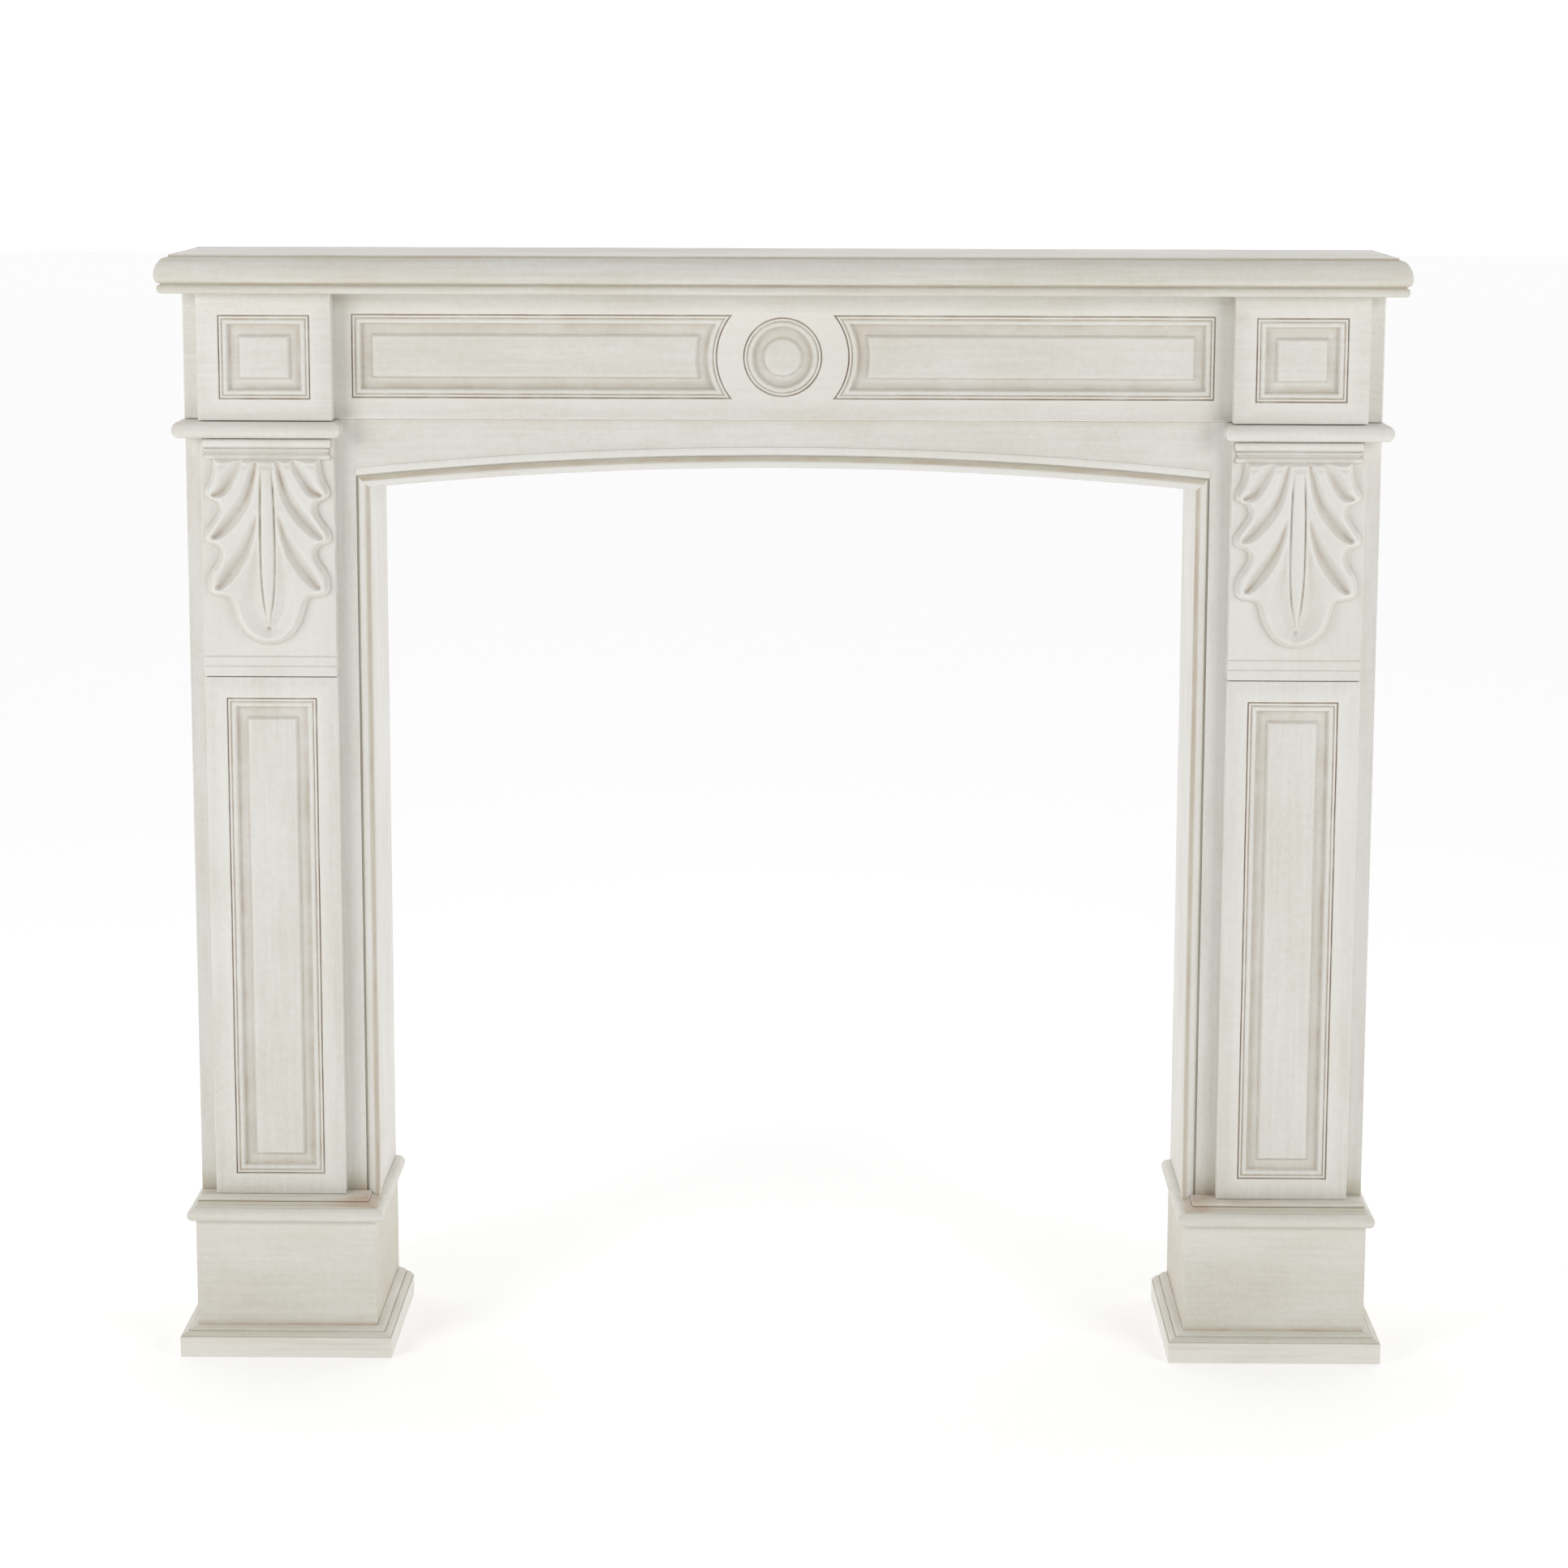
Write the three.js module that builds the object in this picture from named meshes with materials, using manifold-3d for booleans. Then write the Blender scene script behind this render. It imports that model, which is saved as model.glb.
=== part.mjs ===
// A painted wooden fireplace mantelpiece: a moulded shelf, a frieze with a round medallion, two hollow legs
// with carved and panelled pilasters on plinths, and a slightly arched board over the opening.
// Millimetres. X runs to the right, Z up, and the front faces -Y. The origin is on the floor, in the middle
// of the width and of the depth. Every "depth" below is measured out from the wall.
import * as THREE from "three";
import { mergeVertices } from "three/addons/utils/BufferGeometryUtils.js";
import Module from "manifold-3d";

const wasm = await Module();
wasm.setup();

// Clearances
const FIT = 0.3; // between pieces that touch
const SEAM = 1; // open joint line that shows between stacked pieces

// Widths
const BODY_WIDTH = 1325; // across the outer faces of the two legs
const LEG_WIDTH = 202.5; // from a leg's outer face to its jamb, at the opening
const BEAD_WIDTH = 12; // rounded bead that edges the opening
const BEAD_GAP = 1.6; // dark open line beside that bead
const BEAD_PROUD = 5; // height of the bead's round, of which 1 mm stands in front of the boards
const PILASTER_MARGIN = 19.5; // strip of leg that shows outside the pilaster
const PILASTER_MARGIN_INNER = 35.5; // from the pilaster to the opening

// Depths, out from the wall
const LEG_FACE = 183; // front of the leg boards and of the arched board
const FRIEZE_LAP = 4; // how far the frieze board stands in front of the legs
const BOARD = 18; // thickness of the flat boards
const JAMB_BOARD = 12;
const PILASTER_THICK = 20;
const BLOCK_THICK = 27; // corner blocks on the frieze
const PLINTH_STEP = 29; // how far the plinth stands in front of the pilaster
const PLINTH_LAP = 1.5; // how far the plinth stands proud of the jamb

// Heights
const PLINTH_HEIGHT = 155;
const CAP_TORUS_HEIGHT = 16;
const CAP_COVE_HEIGHT = 8;
const LOWER_PANEL_HEIGHT = 595;
const LEAF_BLOCK_HEIGHT = 265.5;
const ASTRAGAL_HEIGHT = 18.5;
const HEADER_HEIGHT = 139;
const SHELF_THICKNESS = 42.2;
const ARCH_DROP = 75; // from the frieze down to the foot of the arch
const ARCH_RISE = 23; // extra height of the opening in its middle

// Mouldings: how far each one stands out
const SHELF_LAP = 8.5; // the shelf's top edge past the corner blocks and the legs
const SHELF_NOSE = 14;
const ASTRAGAL_NOSE = 9;
const CAP_NOSE = 9;
const CAP_FILLET_IN = 11; // how far the cap's top fillet sits behind the plinth's face
const CAP_FILLET_IN_OUTER = 3; // the same on the outer side of the leg
const SHOE_NOSE = 18;
const SHOE_FACE_HEIGHT = 23.5;
const SHOE_HEIGHT = 33;
const REED_NOSE = 9;
const REED_HEIGHT = 23.5;
const REED_END_IN = 2.5; // reeds stop this far inside the block's sides
const ARCH_STRIP = 8; // flat raised strip above the arch's bead
const ARCH_STRIP_PROUD = 1;

// Sunk panels, with the same edge moulding on all of them and on the medallion
const PANEL_MARGIN = 23;
const FRIEZE_PANEL_MARGIN = 19; // from the corner block to the frieze panel
const MEDALLION_RADIUS = 44;
const MEDALLION_BAND = 28; // flat ring between the medallion and the hollow panel ends
const GROOVE_DEPTH = 2;
const FIELD_DEPTH = 4.5;
const CENTRE_DEPTH = 1; // the raised middle sits this far below the face
const CUT_ABOVE = 1; // cutters start this far in front of a face

// Carved leaf
const LEAF_DROP = 25.5; // from the top of the block to the top of the leaf
const LEAF_FOOT = 36.5; // from the tip of the leaf to the foot of the block
const LEAF_MARGIN = 3.25; // from its widest lobes to the sides of the block
const LEAF_PROUD = 12;
const LEAF_EDGE = 4; // width of its sloping side
const LEAF_ROOT = 1; // how far its back is let into the block
const RIB_WIDTH = 15.5;
const RIB_LENGTH = 180; // as drawn
const FILLET_LINES = [11.5, 22.5]; // incised lines, up from the foot of the leaf block
const FILLET_LINE_WIDTH = 2;

// Places worked out from the sizes above
const BODY_HALF = BODY_WIDTH / 2;
const OPENING_HALF = BODY_HALF - LEG_WIDTH;
const PILASTER_OUTER = BODY_HALF - PILASTER_MARGIN;
const PILASTER_INNER = OPENING_HALF + PILASTER_MARGIN_INNER;
const PILASTER_WIDTH = PILASTER_OUTER - PILASTER_INNER;
const PILASTER_MIDDLE = (PILASTER_INNER + PILASTER_OUTER) / 2;
const PILASTER_FACE = LEG_FACE + PILASTER_THICK;
const FRIEZE_FACE = LEG_FACE + FRIEZE_LAP;
const BLOCK_FACE = FRIEZE_FACE + BLOCK_THICK;
const PLINTH_FACE = PILASTER_FACE + PLINTH_STEP;
const PLINTH_INNER = OPENING_HALF - PLINTH_LAP;
const MIDDLE_DEPTH = (PLINTH_FACE + SHOE_NOSE) / 2;
const CAP_TORUS_TOP = PLINTH_HEIGHT + CAP_TORUS_HEIGHT;
const CAP_TOP = CAP_TORUS_TOP + CAP_COVE_HEIGHT;
const LOWER_PANEL_TOP = CAP_TOP + LOWER_PANEL_HEIGHT;
const LEAF_BLOCK_TOP = LOWER_PANEL_TOP + SEAM + LEAF_BLOCK_HEIGHT;
const ASTRAGAL_TOP = LEAF_BLOCK_TOP + SEAM + ASTRAGAL_HEIGHT;
const HEADER_BOTTOM = ASTRAGAL_TOP + SEAM;
const HEADER_TOP = HEADER_BOTTOM + HEADER_HEIGHT;
const HEADER_MIDDLE = (HEADER_BOTTOM + HEADER_TOP) / 2;
const BOARD_BACK = LEG_FACE - BOARD;
const BEAD_OUTER = OPENING_HALF + BEAD_WIDTH;
const BEAD_SHOULDER = LEG_FACE + 1 - BEAD_PROUD;
const LEG_BOARD_INNER = BEAD_OUTER + BEAD_GAP;
const ARCH_SPRING = HEADER_BOTTOM - ARCH_DROP;
const ARCH_RADIUS = (OPENING_HALF ** 2 + ARCH_RISE ** 2) / (2 * ARCH_RISE);
const LEAF_WIDTH = PILASTER_WIDTH - 2 * LEAF_MARGIN;
const LEAF_LENGTH = LEAF_BLOCK_HEIGHT - LEAF_DROP - LEAF_FOOT;

const PAINT = { color: 0xdcdad2, roughness: 0.5, metalness: 0 };

// The Y of a place that is so far out from the wall
function yAt(depth) {
  return MIDDLE_DEPTH - depth;
}

// Points along a round bead or, with a negative `proud`, a hollow between two points of a profile
function swell([out0, z0], [out1, z1], proud, steps) {
  return Array.from({ length: steps + 1 }, (_, i) => {
    const angle = (Math.PI * i) / steps;
    const along = (1 - Math.cos(angle)) / 2;
    return [out0 + (out1 - out0) * along + proud * Math.sin(angle), z0 + (z1 - z0) * along];
  });
}

function shapeOf(outline) {
  return new THREE.Shape(outline.map(([x, y]) => new THREE.Vector2(x, y)));
}

function extruded(outline, length) {
  const prism = new THREE.ExtrudeGeometry(shapeOf(outline), { depth: length, bevelEnabled: false });
  return prism.rotateX(Math.PI / 2);
}

// A prism whose section is drawn in X and Z, between two depths
function prismOutwards(outline, back, front) {
  return extruded(outline, front - back).translate(0, yAt(back), 0);
}

// A prism whose section is drawn in depth and Z, between two X
function prismAcross(outline, left, right) {
  const prism = extruded(outline, right - left).rotateZ(-Math.PI / 2);
  return prism.translate(right, MIDDLE_DEPTH, 0);
}

function board([left, right], [back, front], [bottom, top]) {
  const box = new THREE.BoxGeometry(right - left, front - back, top - bottom);
  return box.translate((left + right) / 2, yAt((back + front) / 2), (bottom + top) / 2);
}

// The volume inside a mesh's faces, negative where they face inwards
function signedVolume(points, index) {
  let sum = 0;
  for (let i = 0; i < index.length; i += 3) {
    const [a, b, c] = [points[index[i]], points[index[i + 1]], points[index[i + 2]]];
    sum += a.dot(b.clone().cross(c)) / 6;
  }
  return sum;
}

// A closed solid through loops of equally many points, with a fan of triangles over each of the end loops
function loft(loops) {
  const count = loops[0].length;
  const last = (loops.length - 1) * count;
  const index = [];
  for (let row = 0; row < last; row += count) {
    for (let i = 0; i < count; i++) {
      const a = row + i;
      const b = row + ((i + 1) % count);
      index.push(a, b, b + count, a, b + count, a + count);
    }
  }
  const middle = (loop) => loop.reduce((sum, p) => sum.add(p), new THREE.Vector3()).divideScalar(count);
  const points = [...loops.flat(), middle(loops[0]), middle(loops[loops.length - 1])];
  for (let i = 0; i < count; i++) {
    const next = (i + 1) % count;
    index.push(next, i, points.length - 2, last + i, last + next, points.length - 1);
  }
  const geometry = new THREE.BufferGeometry().setFromPoints(points);
  return geometry.setIndex(signedVolume(points, index) > 0 ? index : index.reverse());
}

function solidOf(geometry) {
  const bare = geometry.clone();
  bare.deleteAttribute("normal");
  bare.deleteAttribute("uv");
  const merged = mergeVertices(bare, 1e-4);
  const solid = new wasm.Manifold(
    new wasm.Mesh({
      numProp: 3,
      vertProperties: merged.attributes.position.array,
      triVerts: new Uint32Array(merged.index.array),
    }),
  );
  return solid;
}

function geometryOf(solid) {
  const mesh = solid.getMesh();
  const geometry = new THREE.BufferGeometry();
  geometry.setAttribute("position", new THREE.BufferAttribute(mesh.vertProperties, 3));
  return geometry.setIndex(new THREE.BufferAttribute(mesh.triVerts, 1));
}

function piece(name, geometry) {
  const mesh = new THREE.Mesh(geometry, new THREE.MeshStandardMaterial(PAINT));
  mesh.name = name;
  mesh.geometry.computeVertexNormals();
  return mesh;
}

// A length of moulding. Its profile gives how far each point stands out and its height. `facing` is 0 for a
// face towards +X that starts at the wall, -90 degrees for the front, and 180 for a face towards -X.
// A mitred end is longer by as much as the point stands out; `body` mitres what lies behind the face too.
function moulding(profile, facing, [x, depth], length, [mitreStart, mitreEnd], body = false) {
  const prism = new THREE.ExtrudeGeometry(shapeOf(profile), { depth: length, bevelEnabled: false });
  const place = prism.attributes.position;
  for (let i = 0; i < place.count; i++) {
    const out = body ? place.getX(i) : Math.max(place.getX(i), 0);
    const shift = place.getZ(i) > length / 2 ? mitreEnd * (out - FIT) : -mitreStart * out;
    place.setZ(i, place.getZ(i) + shift);
  }
  return prism.rotateX(Math.PI / 2).rotateZ(facing).translate(x, yAt(depth), 0);
}

// Mouldings round three sides of a leg: the outer side, the front and the inner side
function wrapped(side, front, face, inner, outer, innerBack, body) {
  return {
    outer: moulding(side, 0, [outer, 0], face, [0, 1], body),
    front: moulding(front, -Math.PI / 2, [outer, face], outer - inner, [1, 1], body),
    inner: moulding(side, Math.PI, [inner, face], face - innerBack, [1, 0], body),
  };
}

// How deep the panels' moulded edge is at each distance in from the outline: a fine groove, a fillet,
// a second groove, a rounded ridge, a slope down to the sunk field, and a slope up to the raised middle
const SUNK_EDGE = [
  [0, -CUT_ABOVE],
  [0, 0],
  [1, GROOVE_DEPTH],
  [2, 0.4],
  [4.4, 0.3],
  [5.6, GROOVE_DEPTH],
  [6.8, 0.8],
  [7.8, 0.3],
  [9.6, 0.3],
  [10.8, 1],
  [13.8, FIELD_DEPTH],
  [22, FIELD_DEPTH],
  [26, CENTRE_DEPTH],
];

// The solid to cut away for a sunk panel on a face: `outlineAt` gives the outline at a distance inwards
function sunkPanel(outlineAt, face) {
  const loops = SUNK_EDGE.map(([inwards, below]) =>
    outlineAt(inwards).map(([x, z]) => new THREE.Vector3(x, yAt(face - below), z)),
  );
  return solidOf(loft(loops));
}

function rectangleAt([left, right], [bottom, top]) {
  return (inwards) => [
    [left + inwards, bottom + inwards],
    [right - inwards, bottom + inwards],
    [right - inwards, top - inwards],
    [left + inwards, top - inwards],
  ];
}

function circleAt(radius, z, sides) {
  return (inwards) =>
    Array.from({ length: sides }, (_, i) => {
      const angle = (2 * Math.PI * i) / sides;
      return [(radius - inwards) * Math.cos(angle), z + (radius - inwards) * Math.sin(angle)];
    });
}

// A long panel whose inner end is hollowed round the medallion. `sign` is 1 on the right and -1 on the left.
function hollowEndAt(end, hollow, [bottom, top], sign, steps) {
  const middle = (bottom + top) / 2;
  return (inwards) => {
    const half = (top - bottom) / 2 - inwards;
    const radius = hollow + inwards;
    const reach = Math.asin(half / radius);
    const arc = Array.from({ length: steps + 1 }, (_, i) => {
      const angle = reach - (2 * reach * i) / steps;
      return [sign * radius * Math.cos(angle), middle + radius * Math.sin(angle)];
    });
    const far = sign * (end - inwards);
    return [...arc, [far, middle - half], [far, middle + half]];
  };
}

// The arch: X and Z at a share from -1 to 1 across the opening, and a distance outwards from its edge
function archPoint(share, outwards) {
  const x = share * (OPENING_HALF + outwards);
  const centre = ARCH_SPRING + ARCH_RISE - ARCH_RADIUS;
  return [x, centre + Math.sqrt((ARCH_RADIUS + outwards) ** 2 - x ** 2)];
}

function archLine(outwards, segments) {
  return Array.from({ length: segments + 1 }, (_, i) => archPoint((2 * i) / segments - 1, outwards));
}

// Section of the bead round the opening: distance from the edge and depth
const BEAD_SECTION = [
  [0, BOARD_BACK + FIT],
  ...swell([BEAD_SHOULDER, 0], [BEAD_SHOULDER, BEAD_WIDTH], BEAD_PROUD, 6).map(([depth, out]) => [out, depth]),
  [BEAD_WIDTH, BOARD_BACK + FIT],
];

// How far the shelf's edge stands out as drawn below
const SHELF_DRAWN_NOSE = 14.5;

function shelf() {
  const edge = [
    [6, 0],
    ...swell([8, 0.2], [9, 9.5], 3.5, 5),
    [7.8, 10.4],
    ...swell([9, 11.4], [2.2, 39.2], 8.3, 9).slice(0, -1),
    [1.4, 39.4],
    [-0.8, 39.6],
    [-0.8, 40.8],
    [0, 41],
    [0, SHELF_THICKNESS],
  ].map(([out, up]) => [(out * SHELF_NOSE) / SHELF_DRAWN_NOSE, HEADER_TOP + FIT + up]);
  const front = BLOCK_FACE + SHELF_LAP;
  const end = BODY_HALF + SHELF_LAP;
  const bottom = edge[0][1];
  const top = edge[edge.length - 1][1];
  const section = [[0, bottom], ...edge.map(([out, z]) => [front + out, z]), [0, top]];
  const right = edge.map(([out, z]) => [end + out, z]);
  const left = [...right].reverse().map(([x, z]) => [-x, z]);
  const reach = end + 2 * SHELF_NOSE;
  const along = solidOf(prismAcross(section, -reach, reach));
  return geometryOf(along.intersect(solidOf(prismOutwards([...right, ...left], 0, front + 2 * SHELF_NOSE))));
}

function friezeBoard() {
  const panel = [HEADER_BOTTOM + PANEL_MARGIN, HEADER_TOP - PANEL_MARGIN];
  const panelEnd = PILASTER_INNER - FRIEZE_PANEL_MARGIN;
  const hollow = MEDALLION_RADIUS + MEDALLION_BAND;
  let solid = solidOf(
    board([-BODY_HALF, BODY_HALF], [BOARD_BACK + FIT, FRIEZE_FACE], [HEADER_BOTTOM, HEADER_TOP]),
  );
  for (const sign of [-1, 1]) {
    solid = solid.subtract(sunkPanel(hollowEndAt(panelEnd, hollow, panel, sign, 12), FRIEZE_FACE));
  }
  return geometryOf(solid.subtract(sunkPanel(circleAt(MEDALLION_RADIUS, HEADER_MIDDLE, 40), FRIEZE_FACE)));
}

function archBoard() {
  const segments = 24;
  const half = LEG_BOARD_INNER - FIT;
  const lower = BEAD_WIDTH + BEAD_GAP;
  const edge = archLine(lower, segments).map(([x, z]) => [(x * half) / (OPENING_HALF + lower), z]);
  const top = HEADER_BOTTOM - FIT;
  const body = prismOutwards([...edge, [half, top], [-half, top]], BOARD_BACK, LEG_FACE);
  const raised = edge.map(([x, z]) => [x, z + ARCH_STRIP]).reverse();
  const strip = prismOutwards([...edge, ...raised], LEG_FACE - 1, LEG_FACE + ARCH_STRIP_PROUD);
  return geometryOf(solidOf(body).add(solidOf(strip)));
}

function archBead() {
  const segments = 24;
  const loops = Array.from({ length: segments + 1 }, (_, i) => {
    const share = (2 * i) / segments - 1;
    return BEAD_SECTION.map(([outwards, depth]) => {
      const [x, z] = archPoint(share, outwards);
      return new THREE.Vector3(x, yAt(depth), z);
    });
  });
  return loft(loops);
}

// Half the leaf's width at a distance down from its top: three lobes with pointed tips, then a round tongue.
// The leaf is drawn in these numbers, and then fitted to its block.
const LOBES = [
  { from: 0, tip: 36.5, to: 51, start: 59.5, out: 69.5, notch: 54.5 },
  { from: 51, tip: 84, to: 101, start: 54.5, out: 70.5, notch: 53 },
  { from: 101, tip: 139, to: 156, start: 53, out: 68, notch: 42 },
];

const TONGUE = { from: 156, out: 42, to: 203.5 };
const DRAWN_WIDTH = 2 * Math.max(...LOBES.map((lobe) => lobe.out));

function eased(share) {
  return 0.5 - 0.5 * Math.cos(Math.PI * Math.min(Math.max(share, 0), 1));
}

function leafHalfWidth(down) {
  const lobe = LOBES.find((l) => down <= l.to);
  if (lobe && down <= lobe.tip) {
    return lobe.start + (lobe.out - lobe.start) * eased((down - lobe.from) / (lobe.tip - lobe.from));
  }
  if (lobe) {
    return lobe.out + (lobe.notch - lobe.out) * eased((down - lobe.tip) / (lobe.to - lobe.tip));
  }
  const share = Math.min((down - TONGUE.from) / (TONGUE.to - TONGUE.from), 1);
  return Math.max(TONGUE.out * Math.sqrt(1 - share ** 2), LEAF_EDGE / 4);
}

// Hollows and ridges of the leaf: each runs from near the rib out to a lobe, through three distances
// across, between two distances down. `rise` is its height, negative for a hollow, and `wide` its width.
const LEAF_FOLDS = [
  { across: [45, 56, 65], down: [4, 40], rise: -5, wide: 7 },
  { across: [21, 37, 61], down: [6, 86], rise: -5.5, wide: 8 },
  { across: [17, 33, 56], down: [66, 140], rise: -5.5, wide: 8 },
  { across: [13, 22, 36], down: [110, 176], rise: -3, wide: 9 },
  { across: [30, 42, 52], down: [2, 52], rise: 1.5, wide: 5 },
  { across: [16, 31, 50], down: [20, 102], rise: 1.5, wide: 5 },
  { across: [15, 24, 38], down: [98, 158], rise: 1.5, wide: 4 },
];

function leafHeight(across, down) {
  const ribHalf = (RIB_WIDTH / 2) * Math.sqrt(Math.max(1 - (down / RIB_LENGTH) ** 3, 0));
  let height = LEAF_PROUD;
  for (const { across: [near, middle, far], down: [from, to], rise, wide } of LEAF_FOLDS) {
    const share = (down - from) / (to - from);
    if (share < 0 || share > 1) continue;
    const bend = 2 * near - 4 * middle + 2 * far;
    const line = near + share * (4 * middle - 3 * near - far) + share ** 2 * bend;
    const spread = wide * (0.6 + 0.6 * share);
    height += rise * eased(share * 4) * eased((1 - share) * 7) * Math.exp(-(((across - line) / spread) ** 2));
  }
  const fromRib = (across - ribHalf) / 3;
  if (ribHalf > 0 && across < ribHalf) return LEAF_PROUD + 1.5 * Math.sqrt(1 - (across / ribHalf) ** 2);
  return ribHalf > 0 ? height - 3 * Math.exp(-(fromRib ** 2)) * (ribHalf / RIB_WIDTH) * 2 : height;
}

function leaf() {
  const stops = LOBES.flatMap(({ from, tip, to }) => [
    ...Array.from({ length: 5 }, (_, i) => from + ((tip - from) * i) / 5),
    ...Array.from({ length: 4 }, (_, i) => tip + ((to - tip) * i) / 4),
  ]);
  for (let i = 0; i <= 9; i++) stops.push(TONGUE.from + (TONGUE.to - TONGUE.from) * Math.sin((Math.PI * i) / 18));
  const top = LEAF_BLOCK_TOP - LEAF_DROP;
  const wider = LEAF_WIDTH / DRAWN_WIDTH;
  const longer = LEAF_LENGTH / TONGUE.to;
  const columns = 7;
  const loops = stops.map((down) => {
    const width = leafHalfWidth(down);
    const crest = Math.max(width - LEAF_EDGE, width / 2);
    const rib = Math.min((RIB_WIDTH / 2) * Math.sqrt(Math.max(1 - (down / RIB_LENGTH) ** 3, 0.05)), crest / 3);
    const half = [
      [width, -LEAF_ROOT],
      [width, 0],
      ...Array.from({ length: columns + 1 }, (_, i) => {
        const across = crest + ((1.1 * rib - crest) * i) / columns;
        return [across, leafHeight(across, down)];
      }),
      [rib * 0.8, leafHeight(rib * 0.8, down)],
    ];
    const fade = Math.min(1, (TONGUE.to - down) / LEAF_EDGE + 0.25);
    const ring = [...half, [0, leafHeight(0, down)], ...half.map(([x, h]) => [-x, h]).reverse()];
    return ring.map(([x, h]) => {
      const depth = PILASTER_FACE + (h > 0 ? h * fade : h);
      return new THREE.Vector3(PILASTER_MIDDLE + x * wider, yAt(depth), top - down * longer);
    });
  });
  return loft(loops);
}

// Three reeds across the head of the leaf block, with profiled ends
function reeds() {
  const ledge = 0.45 * REED_NOSE;
  const profile = [
    [ledge, 0.5],
    ...swell([ledge, 1.5], [ledge, 7.5], 0.35 * REED_NOSE, 4),
    [0.4 * REED_NOSE, 8.4],
    ...swell([ledge, 9.3], [ledge, 13.2], 0.25 * REED_NOSE, 4),
    [0.4 * REED_NOSE, 14.4],
    ...swell([ledge, 15.5], [ledge, REED_HEIGHT], REED_NOSE - ledge, 6),
  ].map(([out, up]) => [out, LEAF_BLOCK_TOP - REED_HEIGHT + up]);
  const foot = profile[0][1];
  const head = profile[profile.length - 1][1];
  const back = PILASTER_FACE - LEAF_ROOT;
  const section = [[back, foot], ...profile.map(([out, z]) => [PILASTER_FACE + out, z]), [back, head]];
  const end = PILASTER_WIDTH / 2 - REED_END_IN - REED_NOSE;
  const right = profile.map(([out, z]) => [PILASTER_MIDDLE + end + out, z]);
  const left = profile.map(([out, z]) => [PILASTER_MIDDLE - end - out, z]).reverse();
  const across = solidOf(prismAcross(section, PILASTER_INNER, PILASTER_OUTER));
  return across.intersect(solidOf(prismOutwards([...right, ...left], back - 1, PILASTER_FACE + 2 * REED_NOSE)));
}

function leafBlock() {
  const bottom = LOWER_PANEL_TOP + SEAM;
  const span = [PILASTER_INNER, PILASTER_OUTER];
  let solid = solidOf(board(span, [LEG_FACE + FIT, PILASTER_FACE], [bottom, LEAF_BLOCK_TOP]));
  solid = solid.add(reeds()).add(solidOf(leaf()));
  for (const up of FILLET_LINES) {
    const z = bottom + up;
    const half = FILLET_LINE_WIDTH / 2;
    const front = PILASTER_FACE + 0.01;
    const groove = [[front, z - half], [front, z + half], [front - FILLET_LINE_WIDTH, z]];
    solid = solid.subtract(solidOf(prismAcross(groove, PILASTER_INNER - 1, PILASTER_OUTER + 1)));
  }
  return geometryOf(solid);
}

function panelledBlock([back, front], [bottom, top]) {
  const inside = [PILASTER_INNER + PANEL_MARGIN, PILASTER_OUTER - PANEL_MARGIN];
  const outline = rectangleAt(inside, [bottom + PANEL_MARGIN, top - PANEL_MARGIN]);
  const solid = solidOf(board([PILASTER_INNER, PILASTER_OUTER], [back, front], [bottom, top]));
  return geometryOf(solid.subtract(sunkPanel(outline, front)));
}

// The bead down the jamb's front edge, cut at its head to the line where it meets the arch's bead
function innerBead(foot) {
  const corner = ([outwards, depth], z) => new THREE.Vector3(OPENING_HALF + outwards, yAt(depth), z);
  const loops = [
    BEAD_SECTION.map((point) => corner(point, foot)),
    BEAD_SECTION.map((point) => corner(point, archPoint(1, point[0])[1] - FIT)),
  ];
  return loft(loops);
}

function astragal() {
  const z = LEAF_BLOCK_TOP + SEAM;
  const nose = swell([0, z], [0, z + ASTRAGAL_HEIGHT], ASTRAGAL_NOSE, 8);
  const side = [[FIT, z], ...nose.slice(1, -1), [FIT, z + ASTRAGAL_HEIGHT]];
  const back = LEG_FACE + FIT;
  const runs = wrapped(side, nose, BLOCK_FACE, PILASTER_INNER, BODY_HALF, back, false);
  const core = board([PILASTER_INNER, BODY_HALF], [back, BLOCK_FACE], [z, z + ASTRAGAL_HEIGHT]);
  return { ...runs, front: geometryOf(solidOf(runs.front).add(solidOf(core))) };
}

function plinth() {
  const section = [[-BOARD, 0], [0, 0], [0, PLINTH_HEIGHT - FIT], [-BOARD, PLINTH_HEIGHT - FIT]];
  return wrapped(section, section, PLINTH_FACE, PLINTH_INNER, BODY_HALF, 0, true);
}

function shoe() {
  const step = (SHOE_HEIGHT - SHOE_FACE_HEIGHT) / 2;
  const section = [
    [FIT, 0],
    [SHOE_NOSE, 0],
    [SHOE_NOSE, SHOE_FACE_HEIGHT],
    [SHOE_NOSE - 1.5, SHOE_FACE_HEIGHT - 0.5],
    ...swell([SHOE_NOSE - 1.7, SHOE_FACE_HEIGHT + 1], [SHOE_NOSE / 2 + 1, SHOE_FACE_HEIGHT + step], 1.2, 4),
    [SHOE_NOSE / 2, SHOE_FACE_HEIGHT + step - 0.7],
    ...swell([SHOE_NOSE / 2 - 0.3, SHOE_FACE_HEIGHT + step + 1], [FIT + 1, SHOE_HEIGHT - 0.4], 1.4, 4),
    [FIT, SHOE_HEIGHT],
  ];
  return wrapped(section, section, PLINTH_FACE, PLINTH_INNER, BODY_HALF, 0, false);
}

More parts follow.
